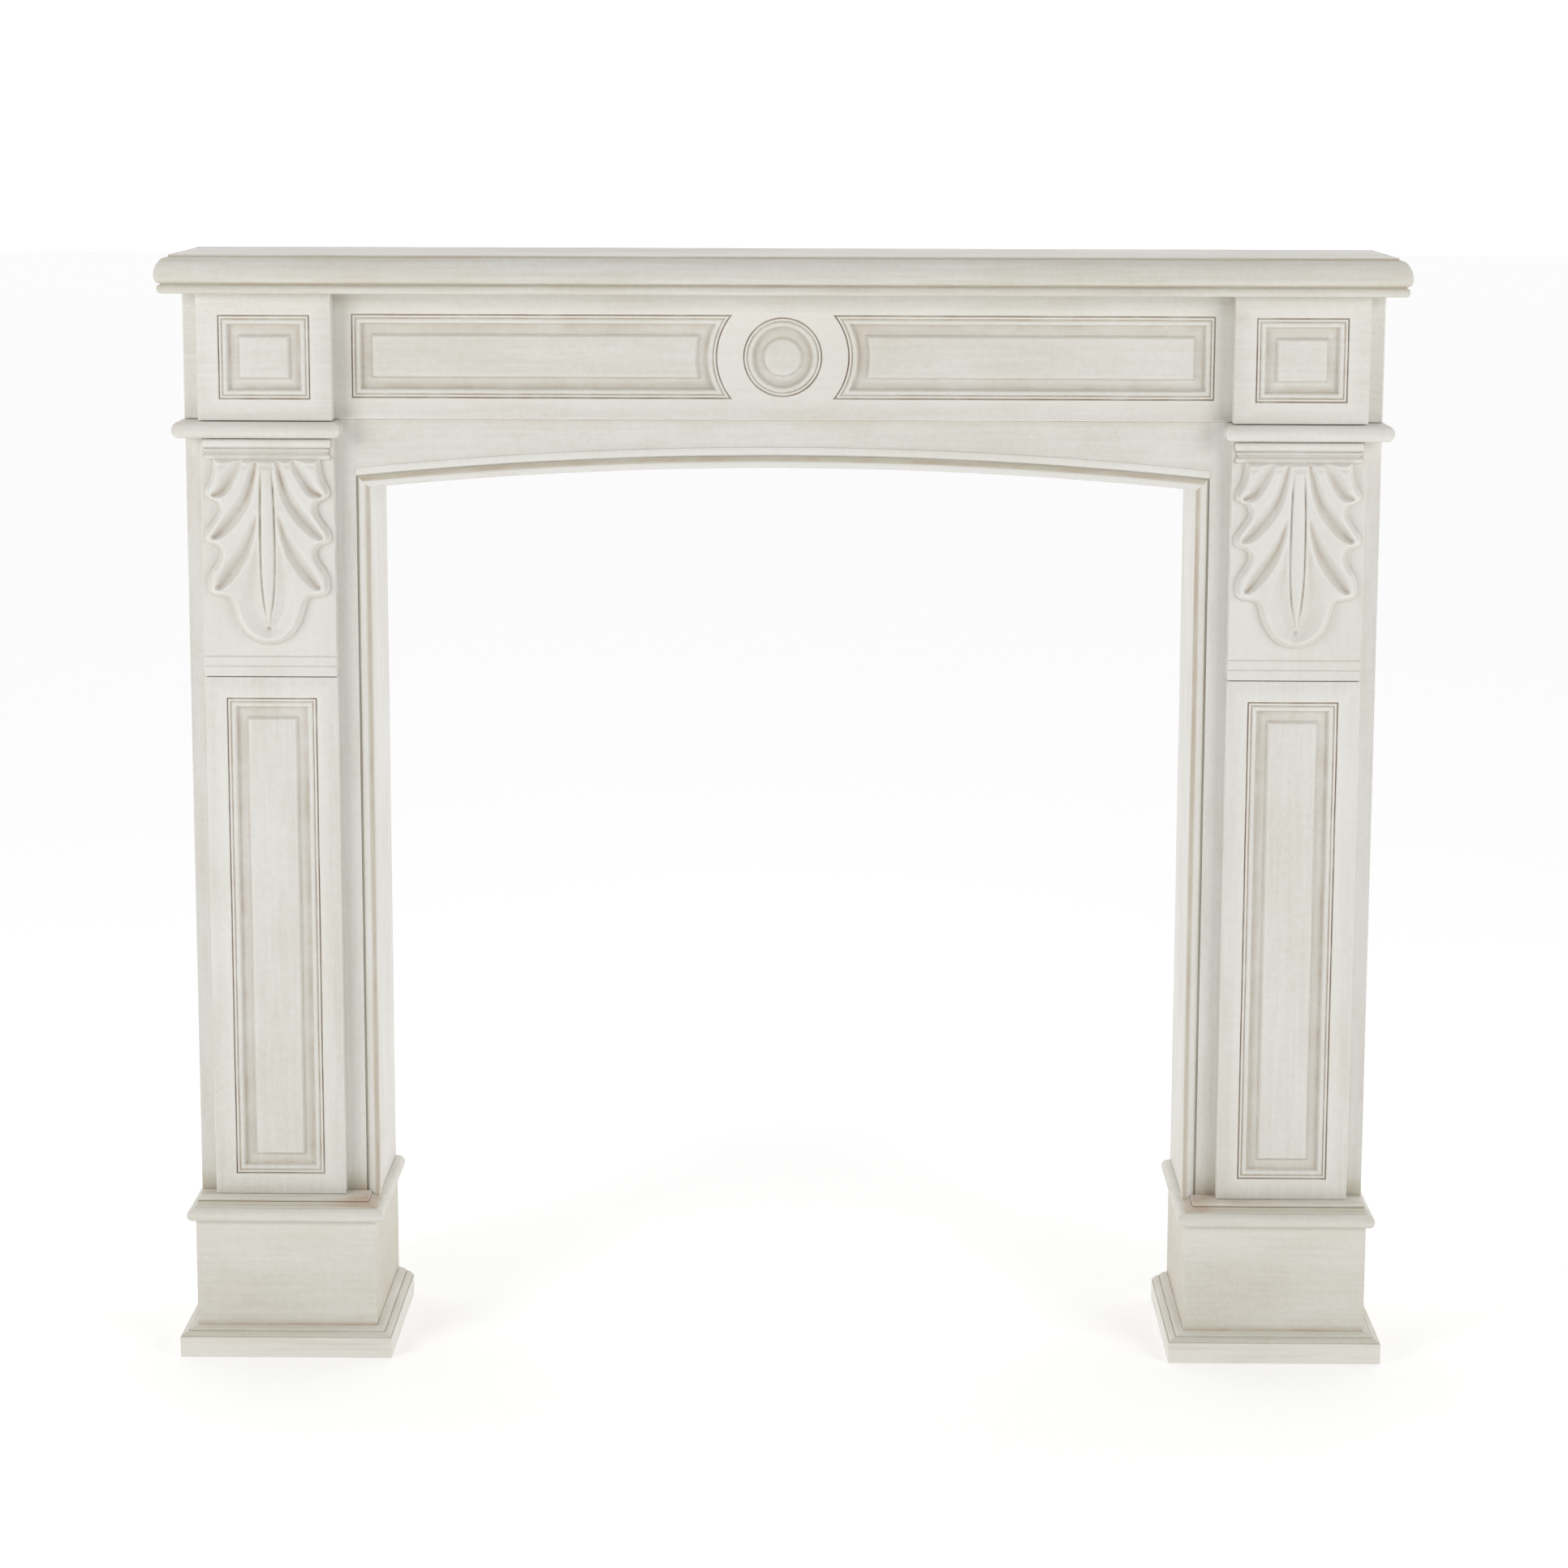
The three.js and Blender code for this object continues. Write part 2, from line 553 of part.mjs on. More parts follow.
// Out and up along the cap's moulded edge: a torus, a quirk, a hollow and a fillet
function capEdge(filletIn) {
  return [
    [0, PLINTH_HEIGHT],
    ...swell([2, PLINTH_HEIGHT], [2.5, CAP_TORUS_TOP - 0.8], CAP_NOSE - 2.2, 8),
    [0, CAP_TORUS_TOP - 0.4],
    [0.5, CAP_TORUS_TOP + 0.6],
    ...swell([0, CAP_TORUS_TOP + 1], [3 - filletIn, CAP_TOP - 3.6], -1, 3),
    [1 - filletIn, CAP_TOP - 3.8],
    [2 - filletIn, CAP_TOP - 2.8],
    [1 - filletIn, CAP_TOP],
  ];
}

// The cap's front: its torus runs back under the leg boards, and its upper part stops in front of them
function capFront() {
  const frontEdge = capEdge(CAP_FILLET_IN).map(([out, z]) => [PLINTH_FACE + out, z]);
  const stop = LEG_FACE + 2;
  const section = [
    [BOARD_BACK, PLINTH_HEIGHT],
    ...frontEdge,
    [stop, CAP_TOP],
    [stop, CAP_TORUS_TOP - FIT],
    [BOARD_BACK, CAP_TORUS_TOP - FIT],
  ];
  const outer = capEdge(CAP_FILLET_IN_OUTER).map(([out, z]) => [BODY_HALF + out, z]);
  const inner = capEdge(CAP_FILLET_IN).map(([out, z]) => [PLINTH_INNER - out, z]).reverse();
  const reach = 2 * CAP_NOSE;
  const across = solidOf(prismAcross(section, PLINTH_INNER - reach, BODY_HALF + reach));
  return geometryOf(
    across.intersect(solidOf(prismOutwards([...outer, ...inner], BOARD_BACK - 1, PLINTH_FACE + reach))),
  );
}

function capSide(facing, x, from, to) {
  const top = CAP_TORUS_TOP - FIT;
  const nose = capEdge(CAP_FILLET_IN).filter(([out, z]) => z < top && out > 0);
  const section = [[-BOARD, PLINTH_HEIGHT], [0, PLINTH_HEIGHT], ...nose, [0, top], [-BOARD, top]];
  return moulding(section, facing, [x, from], Math.abs(to - from), [0, 0]);
}

// One side of the mantelpiece, drawn as the right-hand one
function side(hand) {
  const group = new THREE.Group();
  const add = (name, geometry) => group.add(piece(name + "_" + hand, geometry));
  const legFoot = CAP_TORUS_TOP;
  const legTop = HEADER_BOTTOM - FIT;
  const outerBoard = [BODY_HALF - BOARD, BODY_HALF];
  const behindBoards = [0, BOARD_BACK - FIT];
  const pilaster = [LEG_FACE + FIT, PILASTER_FACE];

  add("header_end", board(outerBoard, behindBoards, [HEADER_BOTTOM, HEADER_TOP]));
  add("corner_block", panelledBlock([FRIEZE_FACE + FIT, BLOCK_FACE], [HEADER_BOTTOM, HEADER_TOP]));

  add("leg_front_board", board([LEG_BOARD_INNER, BODY_HALF], [BOARD_BACK, LEG_FACE], [legFoot, legTop]));
  add("leg_side_board", board(outerBoard, behindBoards, [legFoot, legTop]));
  add("jamb_board", board([OPENING_HALF, OPENING_HALF + JAMB_BOARD], behindBoards, [legFoot, legTop]));
  add("inner_bead", innerBead(legFoot));
  add("pilaster_panel", panelledBlock(pilaster, [CAP_TOP + FIT, LOWER_PANEL_TOP]));
  add("leaf_block", leafBlock());

  const bands = {
    astragal: astragal(),
    cap: {
      outer: capSide(0, BODY_HALF, 0, BOARD_BACK - FIT),
      front: capFront(),
      inner: capSide(Math.PI, PLINTH_INNER, BOARD_BACK - FIT, 0),
    },
    plinth: plinth(),
    shoe: shoe(),
  };
  for (const [band, runs] of Object.entries(bands)) {
    for (const [place, geometry] of Object.entries(runs)) add(band + "_" + place, geometry);
  }
  return group;
}

const mantelpiece = new THREE.Group();
mantelpiece.add(
  piece("shelf", shelf()),
  piece("frieze_board", friezeBoard()),
  piece("arch_board", archBoard()),
  piece("arch_bead", archBead()),
  side("right"),
);
const leftSide = side("left");
leftSide.scale.x = -1;
mantelpiece.add(leftSide);

export default mantelpiece;
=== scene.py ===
# %% [markdown]
# # A painted fireplace mantelpiece
# The real one is joinery: boards for the legs, the frieze and the plinths, with run mouldings and two
# carved leaves planted on them, all painted antique white with a brown-grey glaze wiped into the quirks.
# The CAD model already holds every piece at its true place and size. This lesson rebuilds each piece with
# the soft arrises, fine profiles and carving that a solid model leaves out, and then paints them.  We
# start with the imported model, because every piece below takes its place from it.

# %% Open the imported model
import math
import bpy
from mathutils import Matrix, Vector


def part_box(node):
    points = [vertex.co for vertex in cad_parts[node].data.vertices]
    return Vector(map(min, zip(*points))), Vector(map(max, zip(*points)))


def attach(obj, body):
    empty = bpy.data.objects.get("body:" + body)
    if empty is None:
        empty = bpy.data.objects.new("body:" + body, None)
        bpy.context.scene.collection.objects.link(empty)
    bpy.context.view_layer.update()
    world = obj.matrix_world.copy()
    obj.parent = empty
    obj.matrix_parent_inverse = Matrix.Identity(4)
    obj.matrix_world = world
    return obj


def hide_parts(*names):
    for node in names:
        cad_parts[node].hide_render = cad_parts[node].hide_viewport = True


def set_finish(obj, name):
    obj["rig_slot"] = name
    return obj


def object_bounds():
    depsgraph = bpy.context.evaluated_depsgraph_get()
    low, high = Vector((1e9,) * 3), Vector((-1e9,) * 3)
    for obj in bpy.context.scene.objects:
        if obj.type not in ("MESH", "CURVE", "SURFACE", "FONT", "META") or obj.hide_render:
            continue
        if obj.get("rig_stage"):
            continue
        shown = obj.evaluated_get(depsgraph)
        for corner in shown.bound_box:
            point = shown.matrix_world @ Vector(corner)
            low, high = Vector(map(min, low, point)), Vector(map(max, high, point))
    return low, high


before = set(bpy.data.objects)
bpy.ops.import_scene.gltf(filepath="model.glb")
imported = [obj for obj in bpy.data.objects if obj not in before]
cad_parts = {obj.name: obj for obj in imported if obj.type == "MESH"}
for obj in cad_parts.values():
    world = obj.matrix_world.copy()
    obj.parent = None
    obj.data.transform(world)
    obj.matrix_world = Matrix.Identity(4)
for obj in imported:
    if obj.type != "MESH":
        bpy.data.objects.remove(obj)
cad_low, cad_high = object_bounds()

import zlib

import bpy
import numpy as np
from mathutils import Matrix, Vector
from mathutils.geometry import tessellate_polygon

print(f"{len(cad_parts)} pieces, {1000 * (cad_high.x - cad_low.x):.0f} mm wide")

# %% [markdown]
# ## The camera
# The picture was taken from about four and a half metres away, a little to the right of the middle and
# above the shelf, looking down about ten degrees. A long lens keeps the legs nearly parallel. The camera
# could be placed by eye, but here its place and its three angles were worked out from the straight edges
# of the mantelpiece, so the camera's matrix is written straight from them: its columns are right, up and
# backwards.

# %% Place the camera
IMAGE_PIXELS = 1932
FOCAL_PIXELS = 4978.4
SENSOR_MM = 36
CAMERA_PLACE = Vector((0.05678, -4.53032, 1.42934))
YAW, PITCH, ROLL = 0.0121, 0.17198, 0.0026

forward = Vector((-math.sin(YAW) * math.cos(PITCH), math.cos(YAW) * math.cos(PITCH), -math.sin(PITCH)))
level = Vector((math.cos(YAW), math.sin(YAW), 0))
upright = level.cross(forward)
right = math.cos(ROLL) * level + math.sin(ROLL) * upright
up = math.cos(ROLL) * upright - math.sin(ROLL) * level

camera_data = bpy.data.cameras.new("camera")
camera_data.sensor_width = SENSOR_MM
camera_data.lens = SENSOR_MM * FOCAL_PIXELS / IMAGE_PIXELS
camera = bpy.data.objects.new("camera", camera_data)
axes = Matrix((right, up, -forward)).transposed()
camera.matrix_world = Matrix.Translation(CAMERA_PLACE) @ axes.to_4x4()
bpy.context.scene.collection.objects.link(camera)
bpy.context.scene.camera = camera
print(f"lens {camera_data.lens:.1f} mm")

# %% [markdown]
# ## A helper for shader nodes
# The light, the floor and the paint are all trees of small nodes, each of which works out one thing. A tree
# could be wired by hand in the Shader Editor. A short function that adds a node, sets its values and links
# its inputs keeps the trees readable in code. The scene's Standard view is set here too, which keeps white
# as white.

# %% Add shader nodes
def add_node(tree, kind, settings=None, **sockets):
    """A node with its settings, and with its input sockets either linked or set to a value."""
    made = tree.nodes.new(kind)
    for key, value in (settings or {}).items():
        setattr(made, key, value)
    for key, value in sockets.items():
        socket = made.inputs[int(key[1:])] if key[1:].isdigit() else made.inputs[key.replace("_", " ")]
        if isinstance(value, bpy.types.NodeSocket):
            tree.links.new(value, socket)
        else:
            socket.default_value = value
    return made


scene = bpy.context.scene
scene.view_settings.view_transform = "Standard"
print("view transform:", scene.view_settings.view_transform)

# %% [markdown]
# ## The even light
# White paint shows its mouldings only through soft shading, so the light has to be even but not flat. A
# white world gives the even part: bright behind, which keeps the background white and lights the sides of
# the opening, dim in front, and a little dimmer above, so that the shelf's top doesn't outshine its nose.
# One flat grey world would be simpler, but it would either grey the background or wash out the carving.

# %% Light the world
WORLD_FRONT, WORLD_BACK = 0.19, 1.4
WORLD_LESS_ABOVE, LESS_FROM = 0.21, 0.1
world = bpy.data.worlds.new("studio")
scene.world = world
world.use_nodes = True
tree = world.node_tree
tree.nodes.clear()
direction = add_node(tree, "ShaderNodeTexCoord").outputs["Generated"]
parts = add_node(tree, "ShaderNodeSeparateXYZ", Vector=direction)
level = add_node(
    tree, "ShaderNodeMapRange", Value=parts.outputs["Y"],
    From_Min=-1.0, From_Max=1.0, To_Min=WORLD_FRONT, To_Max=WORLD_BACK,
)
dimmed = add_node(
    tree, "ShaderNodeMapRange", Value=parts.outputs["Z"],
    From_Min=LESS_FROM, From_Max=1.0, To_Min=0.0, To_Max=WORLD_LESS_ABOVE,
)
strength = add_node(
    tree, "ShaderNodeMath", {"operation": "SUBTRACT"}, i0=level.outputs[0], i1=dimmed.outputs[0]
)
background = add_node(tree, "ShaderNodeBackground", Color=(1, 1, 1, 1), Strength=strength.outputs[0])
add_node(tree, "ShaderNodeOutputWorld", Surface=background.outputs[0])
print("world of", len(tree.nodes), "nodes")

# %% [markdown]
# ## The soft boxes
# The photograph shows each leg lit from its own outer side, as two soft boxes to the left and right of
# the camera do. Area lights stand in for them. They are large, so that the shadows beside the blocks stay
# soft, and the left one is a little stronger.

# %% Hang the soft boxes
BOX_PLACE = Vector((1.95, -1.95, 1.5))
BOX_AIM = Vector((0.35, 0.0, 0.62))
BOX_SIZE = 1.25
LEFT_BOX_WATTS, RIGHT_BOX_WATTS = 23.5, 21.3


def soft_box(name, side, watts):
    data = bpy.data.lights.new(name, "AREA")
    data.size = BOX_SIZE
    data.energy = watts
    light = bpy.data.objects.new(name, data)
    mirror = Vector((side, 1, 1))
    light.location = BOX_PLACE * mirror
    light.rotation_euler = ((BOX_AIM - BOX_PLACE) * mirror).to_track_quat("-Z", "Y").to_euler()
    scene.collection.objects.link(light)


soft_box("left_box", -1, LEFT_BOX_WATTS)
soft_box("right_box", 1, RIGHT_BOX_WATTS)
print("soft boxes of", LEFT_BOX_WATTS, "and", RIGHT_BOX_WATTS, "watts")

# %% [markdown]
# ## The floor
# The mantelpiece stands on a plain pale floor. A large flat sheet does. It glows a little, more so
# towards the back, as a lit studio sweep does, so it runs into the white background without a line. A
# slow change of tone keeps it from looking like paper. It isn't part of the object, so it is marked as
# stage.

# %% Lay the floor
FLOOR_HALF = 30.0
CLOUD_SCALE = 0.6
FLOOR_DARK, FLOOR_PALE = (0.91, 0.91, 0.91, 1), (0.93, 0.93, 0.93, 1)
GLOW_FROM, GLOW_TO, GLOW = -2.5, 1.0, 0.33
floor_mesh = bpy.data.meshes.new("floor")
floor_corners = [(x * FLOOR_HALF, y * FLOOR_HALF, 0) for x, y in ((-1, -1), (1, -1), (1, 1), (-1, 1))]
floor_mesh.from_pydata(floor_corners, [], [(0, 1, 2, 3)])
floor = bpy.data.objects.new("floor", floor_mesh)
scene.collection.objects.link(floor)
floor_paint = bpy.data.materials.new("pale_floor")
floor_paint.use_nodes = True
tree = floor_paint.node_tree
floor_shader = tree.nodes["Principled BSDF"]
cloud = add_node(tree, "ShaderNodeTexNoise", Scale=CLOUD_SCALE, Detail=2.0)
tone = add_node(
    tree, "ShaderNodeMix", {"data_type": "RGBA"}, Factor=cloud.outputs[0], i6=FLOOR_DARK, i7=FLOOR_PALE
)
tree.links.new(tone.outputs[2], floor_shader.inputs["Base Color"])
place = add_node(tree, "ShaderNodeTexCoord").outputs["Object"]
depth = add_node(tree, "ShaderNodeSeparateXYZ", Vector=place).outputs["Y"]
glow = add_node(
    tree, "ShaderNodeMapRange", Value=depth, From_Min=GLOW_FROM, From_Max=GLOW_TO, To_Min=0.0, To_Max=GLOW
)
tree.links.new(glow.outputs[0], floor_shader.inputs["Emission Strength"])
floor_shader.inputs["Emission Color"].default_value = (1, 1, 1, 1)
floor_shader.inputs["Roughness"].default_value = 0.9
floor_mesh.materials.append(floor_paint)
floor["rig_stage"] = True
print("floor laid")

# %% [markdown]
# ## Measures
# A joiner works in millimetres, measured out from the wall, so the pieces are drawn that way and turned
# into metres at the end. `span` reads a piece's box from the CAD model. The functions after it draw
# profiles: `swell` a round or a hollow between two points, and `rounded` takes the sharpness off every
# corner, as sanding and three coats of paint do.

# %% Measures and profiles
WALL_Y = 1000 * cad_high.y
SMALL_TURN = math.radians(10)
MOST_OF_EDGE = 0.4


def span(node):
    """A CAD piece's box as three (low, high) pairs, in millimetres."""
    low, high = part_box(node)
    return [(1000 * low[i], 1000 * high[i]) for i in range(3)]


def swell(start, end, proud, steps):
    """Points along a half-round bead or, with a negative `proud`, a hollow between two profile points."""
    angle = np.linspace(0, math.pi, steps + 1)
    along = (1 - np.cos(angle)) / 2
    out = start[0] + (end[0] - start[0]) * along + proud * np.sin(angle)
    return list(zip(out, start[1] + (end[1] - start[1]) * along))


def rounded(outline, radius, closed=True, steps=3):
    """The same outline with each corner of more than SMALL_TURN softened by a short curve."""
    outline = [np.array(p, float) for p in outline]
    count = len(outline)
    soft = []
    for i, corner in enumerate(outline):
        if not closed and i in (0, count - 1):
            soft.append(corner)
            continue
        before, after = outline[i - 1] - corner, outline[(i + 1) % count] - corner
        lengths = np.linalg.norm(before), np.linalg.norm(after)
        if min(lengths) < 1e-6:
            continue
        before, after = before / lengths[0], after / lengths[1]
        if -before @ after > math.cos(SMALL_TURN):
            soft.append(corner)
            continue
        start = corner + before * min(radius, MOST_OF_EDGE * lengths[0])
        end = corner + after * min(radius, MOST_OF_EDGE * lengths[1])
        for t in np.linspace(0, 1, steps + 1):
            soft.append((1 - t) ** 2 * start + 2 * t * (1 - t) * corner + t**2 * end)
    return np.array(soft)


def line_at(points, place):
    """The height at a place of a line through (place, height) points."""
    points = np.array(points, float)
    return np.interp(place, points[:, 0], points[:, 1])


print("shelf spans", [tuple(round(v, 1) for v in s) for s in span("shelf")])

# %% [markdown]
# ## Where the glaze stays
# After painting, a brown glaze is brushed on and wiped off. It stays in quirks and corners, and leaves
# the arrises clean. To know which is which, each profile point looks at a small disc round itself: where
# more than half of the disc is wood, the point lies in a hollow, and where less is wood it is an arris.
# The result runs from -1 on a sharp arris to 1 deep in a groove, and goes into the mesh as an attribute that
# the paint reads. The paint puts glaze, and some painted shade, into the hollows, and a painted highlight on
# the arrises.

# %% Find the hollows of a profile
DISC_RADIUS = 2.4
DISC_RINGS = (0.35, 0.7, 1.0)
DISC_SPOKES = 24
HOLLOW_GAIN = 2.4


def inside(outline, points):
    """Which points lie inside a closed outline, by counting the edges to their right."""
    a, b = outline, np.roll(outline, -1, axis=0)
    x, z = points[:, :1], points[:, 1:]
    crosses = (a[:, 1] > z) != (b[:, 1] > z)
    rise = np.where(b[:, 1] == a[:, 1], 1e-9, b[:, 1] - a[:, 1])
    at = a[:, 0] + (z - a[:, 1]) * (b[:, 0] - a[:, 0]) / rise
    return (crosses & (x < at)).sum(1) % 2 == 1


def hollowness(outline):
    """How hollow a closed outline is at each of its points, from -1 on an arris to 1 in a groove."""
    spokes = np.linspace(0, 2 * math.pi, DISC_SPOKES + 1)[:-1]
    rings = [(DISC_RADIUS * r, a) for r in DISC_RINGS for a in spokes]
    disc = np.array([(r * math.cos(a), r * math.sin(a)) for r, a in rings])
    wood = [inside(outline, p + disc).mean() for p in outline]
    return np.clip((np.array(wood) - 0.5) * HOLLOW_GAIN, -1, 1)


groove = np.array([(0, 0), (10, 0), (10, 10), (6, 10), (5, 8), (4, 10), (0, 10)], float)
print("groove", hollowness(groove).round(2))

# %% [markdown]
# ## From outlines to faces
# Every piece is a mesh made point by point. `loft` joins a row of outlines with faces, which covers
# boards, mouldings and sunk panels alike. Blender's modifiers could bevel and sweep simple shapes
# instead, but then the paint couldn't be told which point lies in which quirk. `uneven` adds the small
# unevenness of sanded wood: a sum of slow waves, drawn once with a fixed seed, so the result is the same
# each time.

# %% Mesh helpers
UNEVEN_MM = 0.05
waves = np.random.default_rng(7)
WAVE_VECTORS = waves.normal(size=(7, 3)) * 2 * math.pi / waves.uniform(45, 160, size=(7, 1))
WAVE_STARTS = waves.uniform(0, 2 * math.pi, size=7)


def uneven(points):
    """Moves points by a few hundredths of a millimetre in slow waves."""
    wave = np.sin(points @ WAVE_VECTORS.T + WAVE_STARTS)
    shift = np.stack([wave[:, 0] + wave[:, 1], wave[:, 2] + wave[:, 3], wave[:, 4] + wave[:, 5]], axis=1)
    return points + UNEVEN_MM * shift


def volume(points, faces):
    """Signed volume, which is negative where the faces turn inwards."""
    fans = np.array([(face[0], face[i], face[i + 1]) for face in faces for i in range(1, len(face) - 1)])
    a, b, c = (points[fans[:, i]] for i in range(3))
    return float((a * np.cross(b, c)).sum()) / 6


def loft(loops, close_start=True, close_end=True):
    """Faces between closed loops of equally many points, with the first and the last loop filled."""
    loops = np.asarray(loops, float)
    rows, count = loops.shape[:2]
    faces = []
    for row in range(rows - 1):
        a, b = row * count, (row + 1) * count
        faces += [(a + i, a + (i + 1) % count, b + (i + 1) % count, b + i) for i in range(count)]
    if close_start:
        faces.append(tuple(range(count))[::-1])
    if close_end:
        faces.append(tuple(range((rows - 1) * count, rows * count)))
    return loops.reshape(-1, 3), faces


print(len(WAVE_STARTS), "waves")

# %% [markdown]
# ## The film of glaze, and painted shade
# The wiped glaze leaves a thin warm film, more on one board than on the next. Each piece gets its share here,
# by the start of its name, and a little more low down, which makes the lower parts darker and warmer. The
# plinth's inner side gets much more, as painted shade on that side. At 0 the paint is cool and clean, at 1 it
# is fully warm, and above 1 the paint turns it brown.

# %% Set the film
FILM_AND_SHADE = {
    "shelf": 0.45, "frieze_board": 0.3, "arch_board": 0.22, "arch_bead": 0.3, "header_end": 0.15,
    "corner_block": 0.26, "leg": 0.12, "jamb": 0.15, "inner_bead": 0.3, "leaf": 0.1, "pilaster": 0.22,
    # The plinth's inner side is darkened here: painted shade on that side.
    "astragal": 0.2, "cap": 0.3, "plinth_inner": 1.1, "plinth": 0.5, "shoe": 0.58,
}
# More towards the bottom: the lower parts are darker and warmer.
FOOT_DARKENING, FOOT_DARKENING_TOP = 0.12, 420


def film_and_shade_of(node, points):
    """The share of warm glaze on a piece, painted shade on the plinth's inner side, with a little more low
    down.
    """
    share = next(value for key, value in FILM_AND_SHADE.items() if node.startswith(key))
    return share + FOOT_DARKENING * np.clip(1 - points[:, 2] / FOOT_DARKENING_TOP, 0, 1)


print("film from", min(FILM_AND_SHADE.values()), "to", max(FILM_AND_SHADE.values()))

# %% [markdown]
# ## Making a piece
# `make_piece` turns the points into metres, stores three attributes for the paint and marks the edges that stay
# sharp. The hollow attribute says where the quirks are, the film attribute how much glaze was left on, together
# with the painted shade that some pieces carry, and the brush attribute is the piece's own length, width and
# depth, so that brush strokes follow each board. A piece on the right is made again, mirrored, on the left,
# with its own unevenness and brush strokes.

# %% Make pieces and pairs
SHARP_ANGLE = math.radians(32)
BRUSH_ORDER = {"x": (0, 2, 1), "y": (1, 2, 0), "z": (2, 0, 1)}
BRUSH_SHIFT = 5
made_pieces = []


def make_piece(node, slot, points, faces, hollow, brush, dirt_and_shade=0.0):
    """One mesh object that stands for a CAD node. Its brush strokes follow the axis `brush`, and the last
    argument adds more warm glaze point by point, with painted shade on some pieces."""
    if volume(points, faces) < 0:
        faces = [face[::-1] for face in faces]
    mesh = bpy.data.meshes.new(node + "_piece")
    mesh.from_pydata((uneven(points) / 1000).tolist(), [], faces)
    mesh.update()
    mesh.shade_smooth()
    mesh.set_sharp_from_angle(angle=SHARP_ANGLE)
    offset = np.random.default_rng(zlib.crc32(node.encode())).uniform(-BRUSH_SHIFT, BRUSH_SHIFT, size=3)
    strokes = points[:, BRUSH_ORDER[brush]] / 1000 + offset
    # The second attribute carries glaze and grime, and on some pieces painted shade.
    for key, values in (("hollow", hollow), ("film_and_shade", film_and_shade_of(node, points) + dirt_and_shade)):
        mesh.attributes.new(key, "FLOAT", "POINT").data.foreach_set("value", np.asarray(values, np.float32))
    mesh.attributes.new("brush", "FLOAT_VECTOR", "POINT").data.foreach_set(
        "vector", strokes.astype(np.float32).ravel()
    )
    piece = bpy.data.objects.new(node + "_piece", mesh)
    scene.collection.objects.link(piece)
    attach(piece, "root")
    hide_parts(node)
    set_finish(piece, slot)
    made_pieces.append(piece)
    return piece


def make_pair(name, slot, points, faces, hollow, brush, dirt_and_shade=0.0):
    """The same piece on the right and, mirrored, on the left."""
    make_piece(name + "_right", slot, points, faces, hollow, brush, dirt_and_shade)
    mirrored = points * np.array([-1, 1, 1])
    make_piece(name + "_left", slot, mirrored, [face[::-1] for face in faces], hollow, brush, dirt_and_shade)
    print(f"{name}: {len(faces)} faces a side")


print("strokes can follow", ", ".join(BRUSH_ORDER))

# %% [markdown]
# ## Outlines with soft corners
# Boards and panels need closed rings with softened corners, which can be stepped inwards for a sunk panel
# or outwards for a moulding that runs round a corner. `ring` makes one at any inset, always with equally
# many points, so any two rings can be lofted.

# %% Rings
LEAST_RADIUS = 0.02
ARC_STEPS = 3


def ring(corners, inset=0.0, radii=0.8, cuts=2):
    """Points round a convex outline that is moved inwards by `inset`, with `cuts` points on each side."""
    corners = np.asarray(corners, float)
    count = len(corners)
    radii = np.broadcast_to(radii, count)
    cuts = np.broadcast_to(cuts, count)
    edges = np.roll(corners, -1, axis=0) - corners
    edges /= np.linalg.norm(edges, axis=1)[:, None]
    area = np.cross(corners, np.roll(corners, -1, axis=0)).sum()
    outward = np.stack([edges[:, 1], -edges[:, 0]], axis=1) * math.copysign(1, area)
    arcs = []
    for i in range(count):
        before, after = outward[i - 1], outward[i]
        soft = max(radii[i] - inset, LEAST_RADIUS)
        centre = corners[i] - (inset + soft) * (before + after) / (1 + before @ after)
        weights = np.linspace(0, 1, ARC_STEPS + 1)[:, None]
        ways = before * (1 - weights) + after * weights
        arcs.append(centre + soft * ways / np.linalg.norm(ways, axis=1)[:, None])
    points = []
    for i in range(count):
        start, end = arcs[i][-1], arcs[(i + 1) % count][0]
        shares = np.linspace(0, 1, cuts[i] + 2)[1:-1, None]
        points += [*arcs[i], *(start + (end - start) * shares)]
    return np.array(points)


def rectangle(across, along):
    """The four corners of a rectangle, from its (low, high) pairs."""
    return [(across[0], along[0]), (across[1], along[0]), (across[1], along[1]), (across[0], along[1])]


def plan_points(outline, z):
    """Plan points, X and Y, lifted to a height."""
    return np.column_stack([outline, np.full(len(outline), z)])


def face_points(outline, y):
    """Points of a front view, X and Z, set at a depth."""
    return np.column_stack([outline[:, 0], np.full(len(outline), y), outline[:, 1]])


print("a ring has", len(ring(rectangle((0, 10), (0, 5)))), "points")

# %% [markdown]
# ## The flat boards
# The frieze box, the legs and the jambs are planed boards with eased arrises. A cube with a Bevel
# modifier would do. Lofting the board's own section along its length does the same in fewer steps, gives
# each arris its own softness and leaves points along the length for the unevenness. The front board of a
# leg also holds brown glaze in the corner above the cap, so it has a few extra rows of points there.

# %% Plane the boards
EASE = 0.9
CRISP = 0.05
RIM_STEPS = 3
# Rims count as arrises: the paint keeps glaze off them and gives them a pale painted highlight.
RIM_WEAR_HIGHLIGHT = -0.6
CUT_EVERY = 30
END_CUTS = (4, 9, 16)
LEG_DIRT, LEG_DIRT_HEIGHT = 2.2, 10


def rim_steps(ease):
    """How far a softened rim lies in from the side and back from the face, starting at the face."""
    turns = np.linspace(0, math.pi / 2, RIM_STEPS + 1)
    return [(ease * (1 - math.sin(a)), ease * (1 - math.cos(a))) for a in turns]


